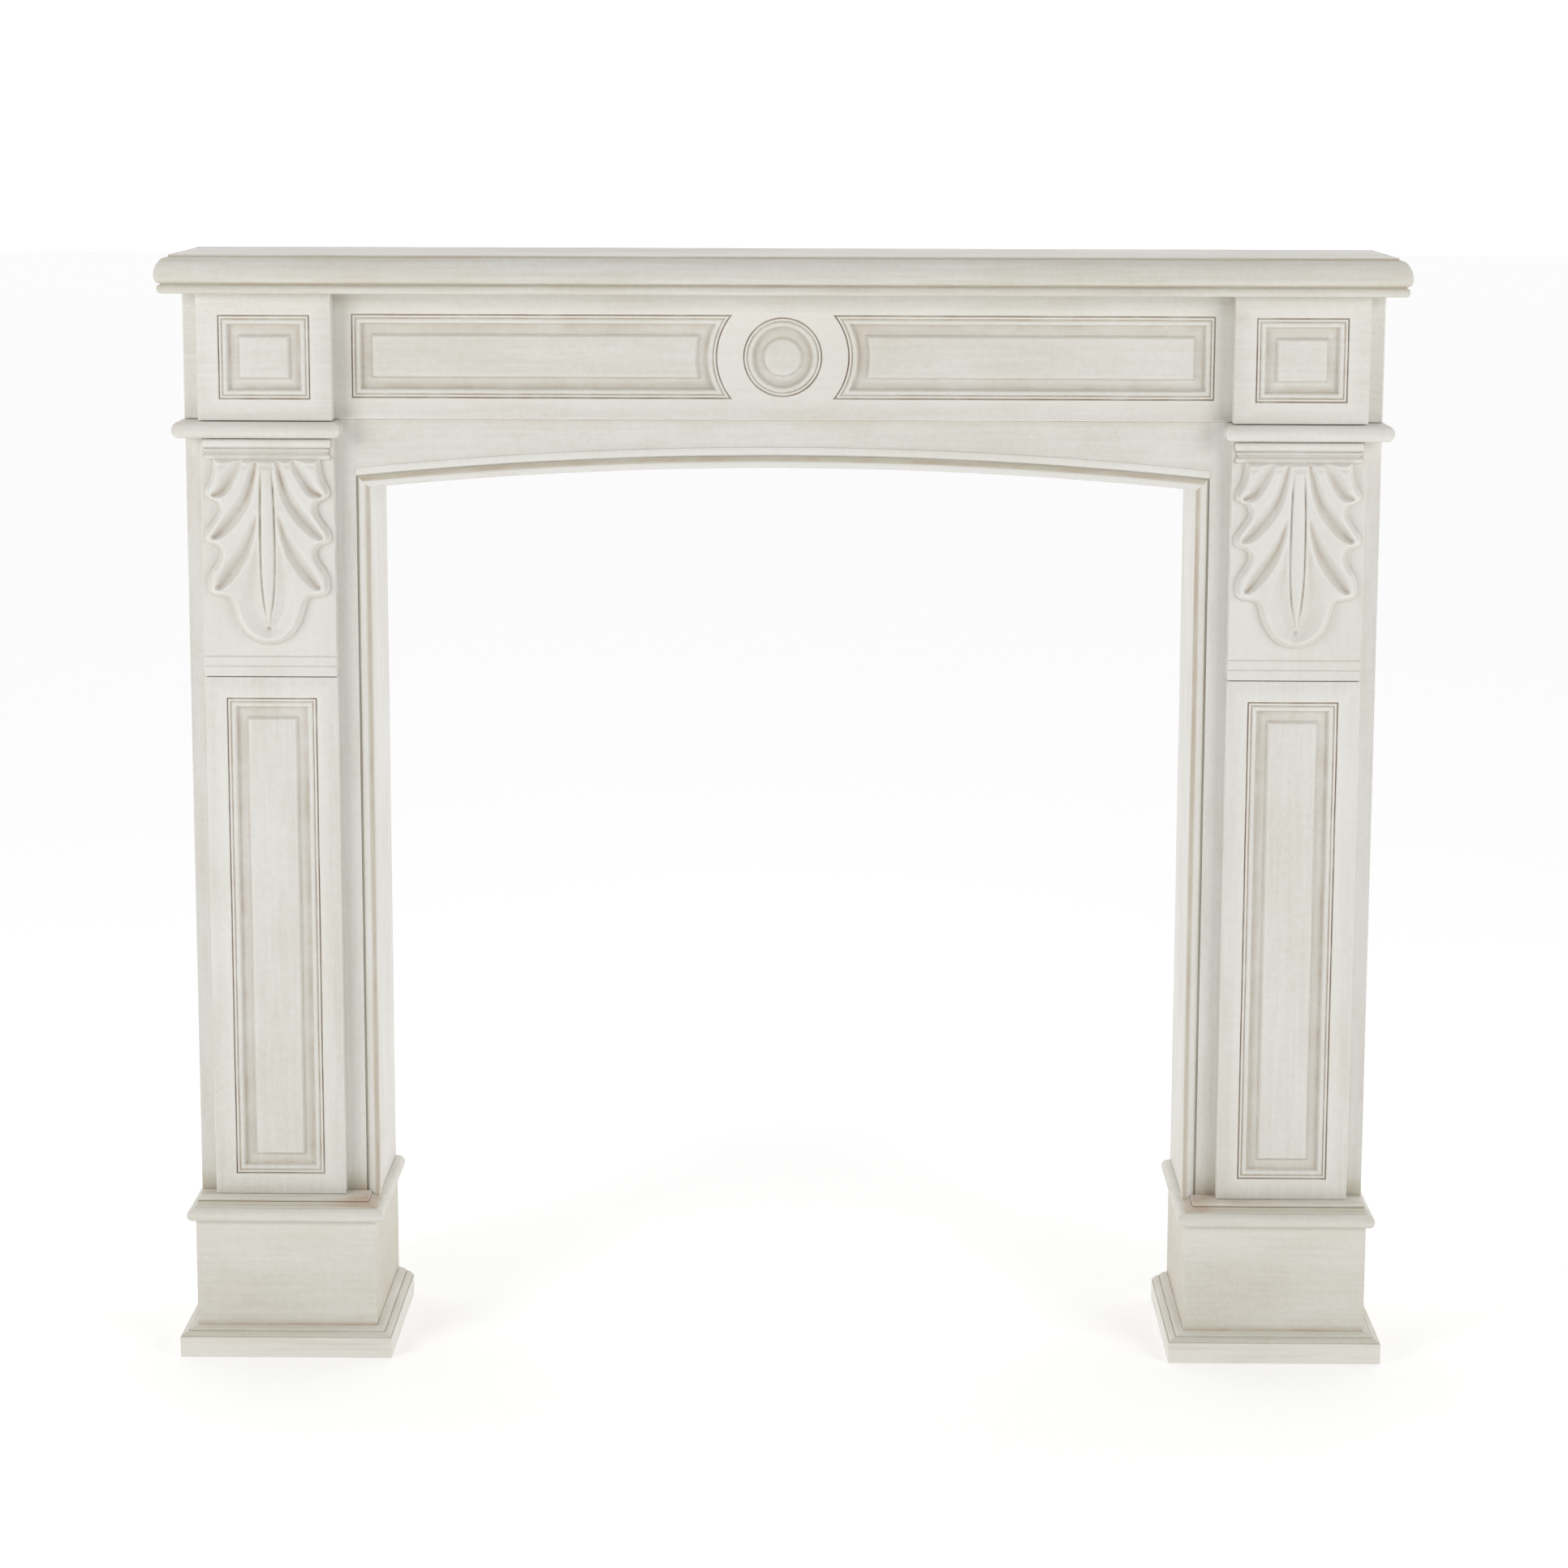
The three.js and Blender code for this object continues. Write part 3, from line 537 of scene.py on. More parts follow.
def eased_board(section, low, high, radii):
    """A prism over a section, from `low` to `high`, with its two rims rounded over."""
    rim = rim_steps(EASE)
    stations = [(inset, low + rise) for inset, rise in rim]
    count = max(int((high - low) / CUT_EVERY), 1)
    stations += [(0, low + step) for step in END_CUTS if count > 1]
    stations += [(0, z) for z in np.linspace(low + EASE, high - EASE, count + 1)[1:-1]]
    stations += [(inset, high - rise) for inset, rise in reversed(rim)]
    outlines = [(ring(section, inset, radii), place) for inset, place in stations]
    arris = np.array([RIM_WEAR_HIGHLIGHT if 0 < inset < EASE else 0.0 for inset, _ in stations])
    return outlines, np.repeat(arris, len(outlines[0][0]))


def board(node, brush, radii=EASE):
    """An eased board that fills a CAD node's box, with its length along the brush axis."""
    x, y, z = span(node)
    if brush == "z":
        outlines, arris = eased_board(rectangle(x, y), *z, radii)
        loops = [plan_points(outline, place) for outline, place in outlines]
    elif brush == "x":
        outlines, arris = eased_board(rectangle(y, z), *x, radii)
        loops = [np.column_stack([np.full(len(o), place), o]) for o, place in outlines]
    else:
        outlines, arris = eased_board(rectangle(x, z), *y, radii)
        loops = [face_points(outline, place) for outline, place in outlines]
    return *loft(loops), arris, brush


def close_to(points, z, height):
    """1 at a height z, fading out over about `height` above and below it."""
    return np.exp(-abs(points[:, 2] - z) / height)


make_pair("header_end", "paint_boards", *board("header_end_right", "z"))
make_pair("leg_side_board", "paint_boards", *board("leg_side_board_right", "z"))
make_pair("jamb_board", "paint_boards", *board("jamb_board_right", "z"))
# The front board keeps a sharp inner arris, where the arched board meets it flush.
leg_front = board("leg_front_board_right", "z", [CRISP, EASE, EASE, CRISP])
cap_top = span("cap_front_right")[2][1]
leg_dirt = LEG_DIRT * close_to(leg_front[0], cap_top, LEG_DIRT_HEIGHT)
make_pair("leg_front_board", "paint_boards", *leg_front, leg_dirt)

# %% [markdown]
# ## Sunk panels
# The corner blocks and the lower pilasters have the same moulded panel edge, cut round a raised middle: a
# fine groove, a fillet, a second groove, a rounded ridge, a slope down to a sunk field and a slope up to
# the raised middle. Its profile is written once, as distances inwards and depths below the face, and
# softened. The frieze below uses it too, so the three places match, as they do when one cutter has run
# them all.

# %% Draw the panel edge
WOOD_BESIDE, WOOD_BELOW = 20, 30
SUNK_EDGE = rounded(
    [(-0.5, 0), (0, 0), (0.8, 2.6), (1.3, 2.6), (2.1, 0.5), (3.6, 0.35), (4.4, 2.0), (5.0, 2.0), (5.8, 0.9),
     (6.8, 0.35), (8.0, 0.2), (9.2, 0.5), (10.0, 1.4), (11.3, 6.2), (12.2, 6.8), (21.4, 6.4), (22.3, 6.1),
     (24.3, 1.9), (25.2, 0.9), (30, 0.8)],
    0.45, closed=False, steps=2,
)


def edge_hollowness(edge):
    """Hollowness of an open edge profile of (inwards, depth below the face) points."""
    beyond = edge[-1][0] + WOOD_BESIDE
    wood = [(beyond, -edge[-1][1]), (beyond, -WOOD_BELOW), (-WOOD_BESIDE, -WOOD_BELOW), (-WOOD_BESIDE, 0)]
    outline = np.array([(inwards, -below) for inwards, below in edge] + wood)
    return hollowness(outline)[: len(edge)]


SUNK_HOLLOW = edge_hollowness(SUNK_EDGE)
print("panel edge is", round(SUNK_EDGE[:, 1].max(), 1), "mm deep")

# %% [markdown]
# ## The panelled blocks
# A corner block carries one such panel and the pilaster a long one. Rings that follow the block's own
# rectangle, then the panel's at growing insets, are lofted from the back to the raised middle. A boolean
# cut would give the same shape but an untidy mesh. The corner block's rim is crisper than the pilaster's,
# because it is a separate block.

# %% Cut the panelled blocks
PANEL_MARGIN = 23
PANEL_RADIUS = 0.3
LEAST_CUTS = 4
BACK_INSET = 0.02
CORNER_BLOCK_EASE = 0.45


def eased_front(corners, y, ease, radius, cuts):
    """Front-view outlines from a piece's back to its face, with the rim of the face softened."""
    loops = [face_points(ring(corners, BACK_INSET, radius, cuts), y[1])]
    for inset, rise in reversed(rim_steps(ease)):
        loops.append(face_points(ring(corners, inset, radius, cuts), y[0] + rise))
    return loops


def panelled_block(node, ease=EASE):
    """A block with one sunk panel, and the hollowness of its points."""
    x, y, z = span(node)
    cuts = [LEAST_CUTS, max(int((z[1] - z[0]) / CUT_EVERY), LEAST_CUTS)] * 2
    loops = eased_front(rectangle(x, z), y, ease, ease, cuts)
    hollow = [0.0, 0.0, *[RIM_WEAR_HIGHLIGHT] * (RIM_STEPS - 1), 0.0]
    inner = rectangle(*[(low + PANEL_MARGIN, high - PANEL_MARGIN) for low, high in (x, z)])
    for (inwards, below), share in zip(SUNK_EDGE, SUNK_HOLLOW):
        loops.append(face_points(ring(inner, inwards, PANEL_RADIUS, cuts), y[0] + below))
        hollow.append(share)
    return *loft(loops), np.repeat(hollow, len(loops[0]))


make_pair("corner_block", "paint_boards", *panelled_block("corner_block_right", CORNER_BLOCK_EASE), "x")
make_pair("pilaster_panel", "paint_boards", *panelled_block("pilaster_panel_right"), "z")

# %% [markdown]
# ## The frieze
# One long board carries two sunk panels, whose inner ends are hollowed out to follow the turned medallion
# between them. The face is a flat sheet with three holes, which Blender's polygon tessellator fills, and
# each hole goes on inwards with the same moulded edge as the blocks. The rim of the face is eased more
# widely than on the other boards, so the joint with the block beside it shows as a soft line.

# %% Cut the frieze
MEDALLION_RADIUS = 44
MEDALLION_BAND = 28
MEDALLION_POINTS = 96
FRIEZE_PANEL_MARGIN = 19
END_ARC_STEPS, LONG_SIDE_STEPS, SHORT_SIDE_STEPS = 36, 14, 4
FRIEZE_EASE = 1.7
# The frieze's wider rim gets a stronger painted highlight, a light line along its lower edge.
FRIEZE_RIM_WEAR_HIGHLIGHT = -0.8
FRIEZE_CUTS = [40, 4, 40, 4]
frieze_x, frieze_y, frieze_z = span("frieze_board")
block_inner = span("corner_block_right")[0][0]
frieze_middle = sum(frieze_z) / 2


def medallion_ring(inwards):
    """The round panel's outline, moved inwards."""
    angles = np.linspace(0, 2 * math.pi, MEDALLION_POINTS + 1)[:-1]
    radius = MEDALLION_RADIUS - inwards
    return np.column_stack([radius * np.cos(angles), frieze_middle + radius * np.sin(angles)])


def hollow_end_ring(sign, inwards):
    """A long panel's outline with its inner end hollowed round the medallion."""
    half = (frieze_z[1] - frieze_z[0]) / 2 - PANEL_MARGIN - inwards
    radius = MEDALLION_RADIUS + MEDALLION_BAND + inwards
    reach = math.asin(half / radius)
    arc = np.linspace(reach, -reach, END_ARC_STEPS + 1)
    far = block_inner - FRIEZE_PANEL_MARGIN - inwards
    near = radius * math.cos(reach)
    sides = [(radius * math.cos(a), radius * math.sin(a)) for a in arc]
    sides += [(x, -half) for x in np.linspace(near, far, LONG_SIDE_STEPS + 1)[1:]]
    sides += [(far, z) for z in np.linspace(-half, half, SHORT_SIDE_STEPS + 1)[1:]]
    sides += [(x, half) for x in np.linspace(far, near, LONG_SIDE_STEPS + 1)[1:-1]]
    return np.array([(sign * x, frieze_middle + z) for x, z in sides])


def frieze():
    """The frieze board with its three panels, and the hollowness of its points."""
    rim = eased_front(rectangle(frieze_x, frieze_z), frieze_y, FRIEZE_EASE, EASE, FRIEZE_CUTS)
    points, faces = loft(rim, close_end=False)
    hollow = np.repeat([0.0, *[FRIEZE_RIM_WEAR_HIGHLIGHT] * RIM_STEPS, 0.0], len(rim[0]))
    outlines = [list(range(len(points) - len(rim[0]), len(points)))]
    holes = [
        lambda inwards: hollow_end_ring(1, inwards),
        lambda inwards: hollow_end_ring(-1, inwards),
        medallion_ring,
    ]
    for hole in holes:
        rows = [face_points(hole(inwards), frieze_y[0] + below) for inwards, below in SUNK_EDGE]
        more, more_faces = loft(rows, close_start=False)
        start = len(points)
        outlines.append(list(range(start, start + len(rows[0]))))
        faces += [tuple(i + start for i in face) for face in more_faces]
        points = np.vstack([points, more])
        hollow = np.concatenate([hollow, np.repeat(SUNK_HOLLOW, len(rows[0]))])
    flat = [[Vector((points[i][0], points[i][2], 0)) for i in outline] for outline in outlines]
    index = sum(outlines, [])
    faces += [tuple(index[i] for i in triangle) for triangle in tessellate_polygon(flat)]
    return points, faces, hollow


print("frieze drawn with", len(frieze()[1]), "faces")

# %% [markdown]
# The sheet, the rims and the three panels were drawn one after the other, so their faces don't all turn
# the same way round. Blender's own recalculation puts that right once the mesh exists.

# %% Make the frieze
import bmesh


def turn_faces_outwards(piece):
    work = bmesh.new()
    work.from_mesh(piece.data)
    bmesh.ops.recalc_face_normals(work, faces=work.faces)
    work.to_mesh(piece.data)
    work.free()
    piece.data.set_sharp_from_angle(angle=SHARP_ANGLE)


frieze_piece = make_piece("frieze_board", "paint_boards", *frieze(), "x")
turn_faces_outwards(frieze_piece)
print("frieze", len(frieze_piece.data.polygons), "faces")

# %% [markdown]
# ## The arched board
# The board under the frieze has a slightly arched lower edge with a flat raised strip. Its edge follows one
# circle, so a section is drawn once and placed at many stations across the opening. A Curve modifier would bend
# a straight board as well, but it would tilt the upper edge too. A soft shadow under the frieze's lower edge is
# painted onto the board, darkest at the joint, so the section has a few points close below it.

# %% Bend the arched board
ARCH_RISE = 23
ARCH_STATIONS = 110
BEAD_WIDTH = 12
BEAD_GAP = 1.6
STRIP, STRIP_SLOPE = 8, 0.3
ARCH_SOFT = 0.7
SEAM_FALLS = (12, 7, 3.5, 1.6, 0)
# Painted shadow under the frieze's lower edge: how dark at the joint, and how fast it fades.
SEAM_SHADOW, SEAM_SHADOW_HEIGHT = 1.3, 2.5
opening_half = span("jamb_board_right")[0][0]
arch_spring = span("arch_bead")[2][0]
arch_y, arch_z = span("arch_board")[1:]
leg_face_y = span("leg_front_board_right")[1][0]
leg_inner = span("leg_front_board_right")[0][0]
arch_radius = (opening_half**2 + ARCH_RISE**2) / (2 * ARCH_RISE)


def arch_point(share, outwards):
    """X and Z on the circle of the opening or outside it, with the share running from -1 on the left to 1."""
    x = share * (opening_half + outwards)
    centre = arch_spring + ARCH_RISE - arch_radius
    return x, centre + math.sqrt((arch_radius + outwards) ** 2 - x**2)


def arch_board():
    loops = []
    for share in np.linspace(-1, 1, ARCH_STATIONS):
        x, foot = arch_point(share, BEAD_WIDTH + BEAD_GAP)
        x *= leg_inner / (opening_half + BEAD_WIDTH + BEAD_GAP)
        section = [
            (arch_y[1], foot), (arch_y[0], foot), (arch_y[0], foot + STRIP),
            (leg_face_y, foot + STRIP + STRIP_SLOPE),
            *[(leg_face_y, arch_z[1] - fall) for fall in SEAM_FALLS], (arch_y[1], arch_z[1]),
        ]
        section = rounded(section, ARCH_SOFT)
        loops.append(np.column_stack([np.full(len(section), x), section]))
    hollow = hollowness(loops[ARCH_STATIONS // 2][:, 1:] * np.array([-1, 1]))
    points, faces = loft(loops)
    # Painted shadow below the frieze, fading downwards from the joint.
    seam_shadow = SEAM_SHADOW * np.exp(-(arch_z[1] - points[:, 2]) / SEAM_SHADOW_HEIGHT)
    return points, faces, np.tile(hollow, ARCH_STATIONS), "x", seam_shadow


make_piece("arch_board", "paint_boards", *arch_board())
print("arch radius", round(arch_radius), "mm")

# %% [markdown]
# ## The round bead
# A round bead frames the opening: one length under the arch, mitred to a length down each jamb. It overhangs
# the opening a little, and a small flat ear beside it closes the gap to the boards. Its section is drawn once,
# as distances out from the opening and depths, and placed along the circle and down the jambs. Glaze stayed in
# the two quirks beside the round, which the two tables say, by the distance out. The jambs' table also paints
# shading onto the round: paler across its face and darker at its outer edge.

# %% Run the bead
JAMB_STATIONS = 30
BEAD_PROUD = 5
BEAD_OVER = 1.6
EAR = 1.3
EAR_DOWN = 3.0
bead_back = span("inner_bead_right")[1][1]
bead_middle = span("inner_bead_right")[1][0] + BEAD_PROUD
bead_round = swell((bead_middle, -BEAD_OVER), (bead_middle, BEAD_WIDTH), -BEAD_PROUD, 16)
BEAD_SECTION = rounded(
    [(-BEAD_OVER, bead_back), *[(out, y) for y, out in bead_round], (BEAD_WIDTH, leg_face_y + EAR_DOWN),
     (BEAD_WIDTH + EAR, leg_face_y + EAR_DOWN), (BEAD_WIDTH + EAR, bead_back)],
    0.3,
)
BEAD_HOLLOW = hollowness(BEAD_SECTION * np.array([1, -1]))
ARCH_BEAD_DIRT = line_at([(5, -0.4), (7, 1.5), (10, 1.4), (11.6, 0.3)], BEAD_SECTION[:, 0])
# Jamb bead: brown glaze in the quirk, a painted highlight across the round, painted shade at its outer edge.
JAMB_BEAD_GLAZE_AND_SHADE = line_at(
    [(-1.6, 0.4), (0.3, 1.5), (2.2, 1.2), (4.2, -0.2), (9.5, -0.2), (12, 0.6)], BEAD_SECTION[:, 0]
)


def arch_bead():
    loops = []
    for share in np.linspace(-1, 1, ARCH_STATIONS):
        places = [(*arch_point(share, out), y) for out, y in BEAD_SECTION]
        loops.append([(x, y, z) for x, z, y in places])
    return *loft(loops), np.tile(BEAD_HOLLOW, ARCH_STATIONS), "x", np.tile(ARCH_BEAD_DIRT, ARCH_STATIONS)


def jamb_bead():
    foot = span("inner_bead_right")[2][0]
    loops = []
    for share in np.linspace(0, 1, JAMB_STATIONS):
        loops.append([
            (opening_half + out, y, foot + share * (arch_point(1, out)[1] - foot)) for out, y in BEAD_SECTION
        ])
    return *loft(loops), np.tile(BEAD_HOLLOW, JAMB_STATIONS), "z", np.tile(JAMB_BEAD_GLAZE_AND_SHADE, JAMB_STATIONS)


make_piece("arch_bead", "paint_mouldings", *arch_bead())
make_pair("inner_bead", "paint_mouldings", *jamb_bead())

# %% [markdown]
# ## The shelf
# The shelf's nose is one run moulding on three sides: a small ogee foot, a quirk, a big round and a
# fillet under the flat top. Rings in plan, one for each point of the profile, build it from below
# upwards, and the corners come out mitred by themselves.

# %% Run the shelf's nose
SHELF_NOSE = 14
DRAWN_NOSE = 14.5
SHELF_RADII, SHELF_CUTS = [1.6, 1.6, 0.2, 0.2], [130, 22, 40, 22]
SHELF_HOLLOW = 0.5
FAR_BEHIND = -60
shelf_x, shelf_y, shelf_z = span("shelf")
SHELF_PROFILE = rounded(
    [(6, 0), *swell((8, 0.2), (9, 9.5), 3.5, 10), (8.1, 10.5), *swell((9.2, 11.4), (2.4, 39.4), 8.3, 22)[:-1],
     (1.4, 39.7), (-0.5, 39.9), (-0.5, 40.8), (0, 41), (0, 42.2)],
    0.35, closed=False,
)
SHELF_ARRIS = rounded([(0, 41.0), (0, 42.2), (-3, 42.2)], 1.0, closed=False)
SHELF_TOP = (-1.0, shelf_z[1] - shelf_z[0])
SHELF_DIRT = [  # height above the shelf's underside, more or less film
    (0, 0.0), (9, 0.25), (10.5, 0.6), (12, 0.25), (24, 0.0),
    (33, -0.1), (38.5, 0.15), (40.8, 0.6), (41.6, 0.05),
]


def shelf():
    profile = np.vstack([SHELF_PROFILE[:-1], SHELF_ARRIS[1:], [SHELF_TOP]])
    profile[:, 0] *= SHELF_NOSE / DRAWN_NOSE
    end = shelf_x[1] - SHELF_NOSE
    front = shelf_y[0] + SHELF_NOSE
    loops = []
    for out, rise in profile:
        plan = rectangle((-end - out, end + out), (front - out, shelf_y[1]))
        loops.append(plan_points(ring(plan, 0, SHELF_RADII, SHELF_CUTS), shelf_z[0] + rise))
    closed = np.vstack([profile, [(FAR_BEHIND, profile[-1][1]), (FAR_BEHIND, 0)]])
    hollow = SHELF_HOLLOW * hollowness(closed)[: len(profile)]
    dirt_and_shade = line_at(SHELF_DIRT, profile[:, 1])
    return *loft(loops), np.repeat(hollow, len(loops[0])), "x", np.repeat(dirt_and_shade, len(loops[0]))


make_piece("shelf", "paint_mouldings", *shelf())
print("shelf run")

# %% [markdown]
# ## Mouldings round the legs
# The half-round astragal, the plinth and the stepped shoe each run round three sides of a leg and are
# mitred at the two front corners. `sweep` carries a profile along one side. At a mitred end each point
# runs on by as much as it stands out, so two sides meet on the diagonal.

# %% Sweep a mitred length
def sweep(profile, start, end, outwards, mitres):
    """A length of moulding between two plan points. Profile points are (out, height)."""
    start, end, outwards = (np.array(p, float) for p in (start, end, outwards))
    run = (end - start) / np.linalg.norm(end - start)
    out = profile[:, :1]
    first = start + out * outwards - out * run * mitres[0]
    last = end + out * outwards + out * run * mitres[1]
    stations = max(int(np.linalg.norm(end - start) / CUT_EVERY), 1) + 1
    loops = []
    for share in np.linspace(0, 1, stations):
        loops.append(np.column_stack([first + (last - first) * share, profile[:, 1]]))
    return *loft(loops), np.tile(hollowness(profile), stations)


leg_outer = span("leg_front_board_right")[0][1]
pilaster_inner = span("pilaster_panel_right")[0][0]
plinth_inner = span("plinth_inner_right")[0][0]
plinth_face_y = span("plinth_front_right")[1][0]
block_face_y = span("corner_block_right")[1][0]


def round_three_sides(name, slot, profile, dirt_and_shade=lambda points: 0.0):
    """Three mitred lengths round the foot of a leg."""
    inner, outer, face_y = plinth_inner, leg_outer, plinth_face_y
    lengths = {
        "outer": ((outer, WALL_Y), (outer, face_y), (1, 0), (0, 1), "y"),
        "front": ((outer, face_y), (inner, face_y), (0, -1), (1, 1), "x"),
        "inner": ((inner, face_y), (inner, WALL_Y), (-1, 0), (1, 0), "y"),
    }
    for side, (start, end, outwards, mitres, brush) in lengths.items():
        points, faces, hollow = sweep(profile, start, end, outwards, mitres)
        make_pair(f"{name}_{side}", slot, points, faces, hollow, brush, dirt_and_shade(points))


print("leg is", round(leg_outer - opening_half, 1), "mm wide")

# %% [markdown]
# ## The astragal
# A half-round band closes the pilaster below the corner block. Its front length has a core that fills the
# space back to the leg, and the two returns are only as thick as the round.

# %% Run the astragal
ASTRAGAL_NOSE = 9
ASTRAGAL_FROM = 0.3
ASTRAGAL_STATIONS = 12
astragal_z = span("astragal_front_right")[2]
astragal_back_y = span("astragal_front_right")[1][1]
astragal_round = swell(
    (ASTRAGAL_FROM, astragal_z[0]), (ASTRAGAL_FROM, astragal_z[1]), ASTRAGAL_NOSE - ASTRAGAL_FROM, 20
)
astragal_profile = rounded(astragal_round, 0.5)
for side, start, end, outwards, mitres in (
    ("outer", (leg_outer, WALL_Y), (leg_outer, block_face_y), (1, 0), (0, 1)),
    ("inner", (pilaster_inner, block_face_y), (pilaster_inner, astragal_back_y), (-1, 0), (1, 0)),
):
    length = sweep(astragal_profile, start, end, outwards, mitres)
    make_pair(f"astragal_{side}", "paint_mouldings", *length, "y")


def astragal_front():
    """The round and its core in one outline: mitred in front, square behind."""
    depth = astragal_back_y - block_face_y
    section = np.vstack([[(-depth, astragal_z[0])], astragal_profile, [(-depth, astragal_z[1])]])
    past = np.maximum(section[:, 0], 0)
    loops = []
    for share in np.linspace(0, 1, ASTRAGAL_STATIONS):
        x = (leg_outer + past) + share * ((pilaster_inner - past) - (leg_outer + past))
        loops.append(np.column_stack([x, block_face_y - section[:, 0], section[:, 1]]))
    return *loft(loops), np.tile(hollowness(section), ASTRAGAL_STATIONS)


make_pair("astragal_front", "paint_mouldings", *astragal_front(), "x")

# %% [markdown]
# ## The plinth
# Three boards, mitred at the front corners, stand on the floor. Only the outward faces show, so the
# sweep's section is a plain board with eased rims. The mitred corners stay crisp. Dirt gathers just above
# the shoe, so the section has a few points close above it.

# %% Stand the plinths
PLINTH_BOARD = 18
plinth_z = span("plinth_front_right")[2]
SHOE_TOP = span("shoe_front_right")[2][1]
SHOE_RISES = (0, 1.6, 3.5, 7, 14)
SHOE_DIRT, SHOE_DIRT_HEIGHT = 2.4, 2.2
plinth_section = rounded(
    [(-PLINTH_BOARD, plinth_z[0]), (0, plinth_z[0]), *[(0, SHOE_TOP + rise) for rise in SHOE_RISES],
     (0, plinth_z[1]), (-PLINTH_BOARD, plinth_z[1])],
    0.8,
)
round_three_sides(
    "plinth", "paint_boards", plinth_section,
    lambda points: SHOE_DIRT * close_to(points, SHOE_TOP, SHOE_DIRT_HEIGHT),
)

# %% [markdown]
# ## The shoe
# A stepped skirting, also mitred, covers the joint with the floor: a tall flat face, a small round, a
# step and a second round against the plinth.

# %% Run the shoe
SHOE_NOSE = 18
SHOE_FACE = 23.5
shoe_section = rounded(
    [(0.3, 0), (SHOE_NOSE, 0), (SHOE_NOSE, SHOE_FACE), (16.5, 23), *swell((16.3, 24.5), (10, 28.25), 1.2, 8),
     (9, 27.55), *swell((8.7, 29.25), (1.3, 32.6), 1.4, 8), (0.3, 33)],
    0.5,
)
round_three_sides("shoe", "paint_mouldings", shoe_section)

# %% [markdown]
# ## The cap
# The plinth's cap has a torus, a quirk, a small cove and a fillet that carries the pilaster. On the outer
# side of the leg it stands in less than on the front, so the plan rings are not all the same distance
# apart. Behind the pilaster the rings step back over the torus to make room for the leg boards.

# %% Run the cap
cap_z = span("cap_front_right")[2]
CAP_NOSE = 9
TORUS = 16
FRONT_IN, SIDE_IN = 11, 3
CAP_RADII, CAP_CUTS = [0.6, 0.6, 0.1, 0.1], [12, 5, 4, 5]
CAP_DIRT, CORNER_DIRT_WIDTH = 1.3, 30
DIRT_RISE, DIRT_EVERYWHERE, DIRT_IN_CORNER = 1.5, 0.6, 1.4
cap_back_y = span("cap_front_right")[1][1]
cap_stop_y = leg_face_y - 2


def cap_profile(fillet_in):
    """The cap's moulding, with its cove and fillet set in by `fillet_in` for the pilaster above."""
    z, top = cap_z
    torus = z + TORUS
    return np.array(
        [(0, z), *swell((2, z), (2.5, torus - 0.8), CAP_NOSE - 2.2, 18), (0, torus - 0.4), (0.3, torus + 0.6),
         *swell((0, torus + 1), (3 - fillet_in, top - 3.6), -1, 7), (1 - fillet_in, top - 3.8),
         (2 - fillet_in, top - 2.8), (1.6 - fillet_in, top - 0.4), (1 - fillet_in, top)]
    )


def cap_front():
    front, outer = cap_profile(FRONT_IN), cap_profile(SIDE_IN)
    closed = np.vstack([front, [(FAR_BEHIND, cap_z[1]), (FAR_BEHIND, cap_z[0])]])
    shares = hollowness(closed)[: len(front)]
    torus_top = cap_z[0] + TORUS - 0.3
    loops, hollow = [], []
    stepped = False
    for (out, z), (out_outer, _), share in zip(front, outer, shares):
        backs = [cap_back_y if z <= torus_top else cap_stop_y]
        if z > torus_top and not stepped:
            stepped = True
            backs = [cap_back_y, cap_stop_y]
        for back in backs:
            plan = rectangle((plinth_inner - out, leg_outer + out_outer), (plinth_face_y - out, back))
            height = min(z, torus_top) if back == cap_back_y else z
            loops.append(plan_points(ring(plan, 0, CAP_RADII, CAP_CUTS), height))
            hollow.append(share)
    points, faces = loft(loops)
    corner = np.hypot(points[:, 0] - plinth_inner, points[:, 1] - plinth_face_y) / CORNER_DIRT_WIDTH
    dirt_and_shade = CAP_DIRT * np.clip((points[:, 2] - torus_top) / DIRT_RISE, 0, 1)
    dirt_and_shade *= DIRT_EVERYWHERE + DIRT_IN_CORNER * np.exp(-(corner**2))
    return points, faces, np.repeat(hollow, len(loops[0])), "x", dirt_and_shade


make_pair("cap_front", "paint_mouldings", *cap_front())
cap_side_top = span("cap_outer_right")[2][1]
cap_torus = [p for p in cap_profile(FRONT_IN) if p[1] < cap_side_top and p[0] > 0]
cap_side = rounded(
    [(-PLINTH_BOARD, cap_z[0]), (0, cap_z[0]), *cap_torus, (0, cap_side_top), (-PLINTH_BOARD, cap_side_top)],
    0.4,
)
side_front = span("cap_outer_right")[1][0]
cap_outer = sweep(cap_side, (leg_outer, WALL_Y), (leg_outer, side_front), (1, 0), (0, 0))
cap_inner = sweep(cap_side, (plinth_inner, side_front), (plinth_inner, WALL_Y), (-1, 0), (0, 0))
make_pair("cap_outer", "paint_mouldings", *cap_outer, "y")
make_pair("cap_inner", "paint_mouldings", *cap_inner, "y")

# %% [markdown]
# ## The leaf block: its outline
# The upper block of each pilaster is carved: three reeds at its head, an acanthus leaf, and two incised
# lines. A carver starts from the leaf's outline. Half of it is written as a line of distances down and
# across, three lobes and a tongue, and smoothed. The distance of every point of the face from that
# outline then gives the leaf its sloping, rounded side.

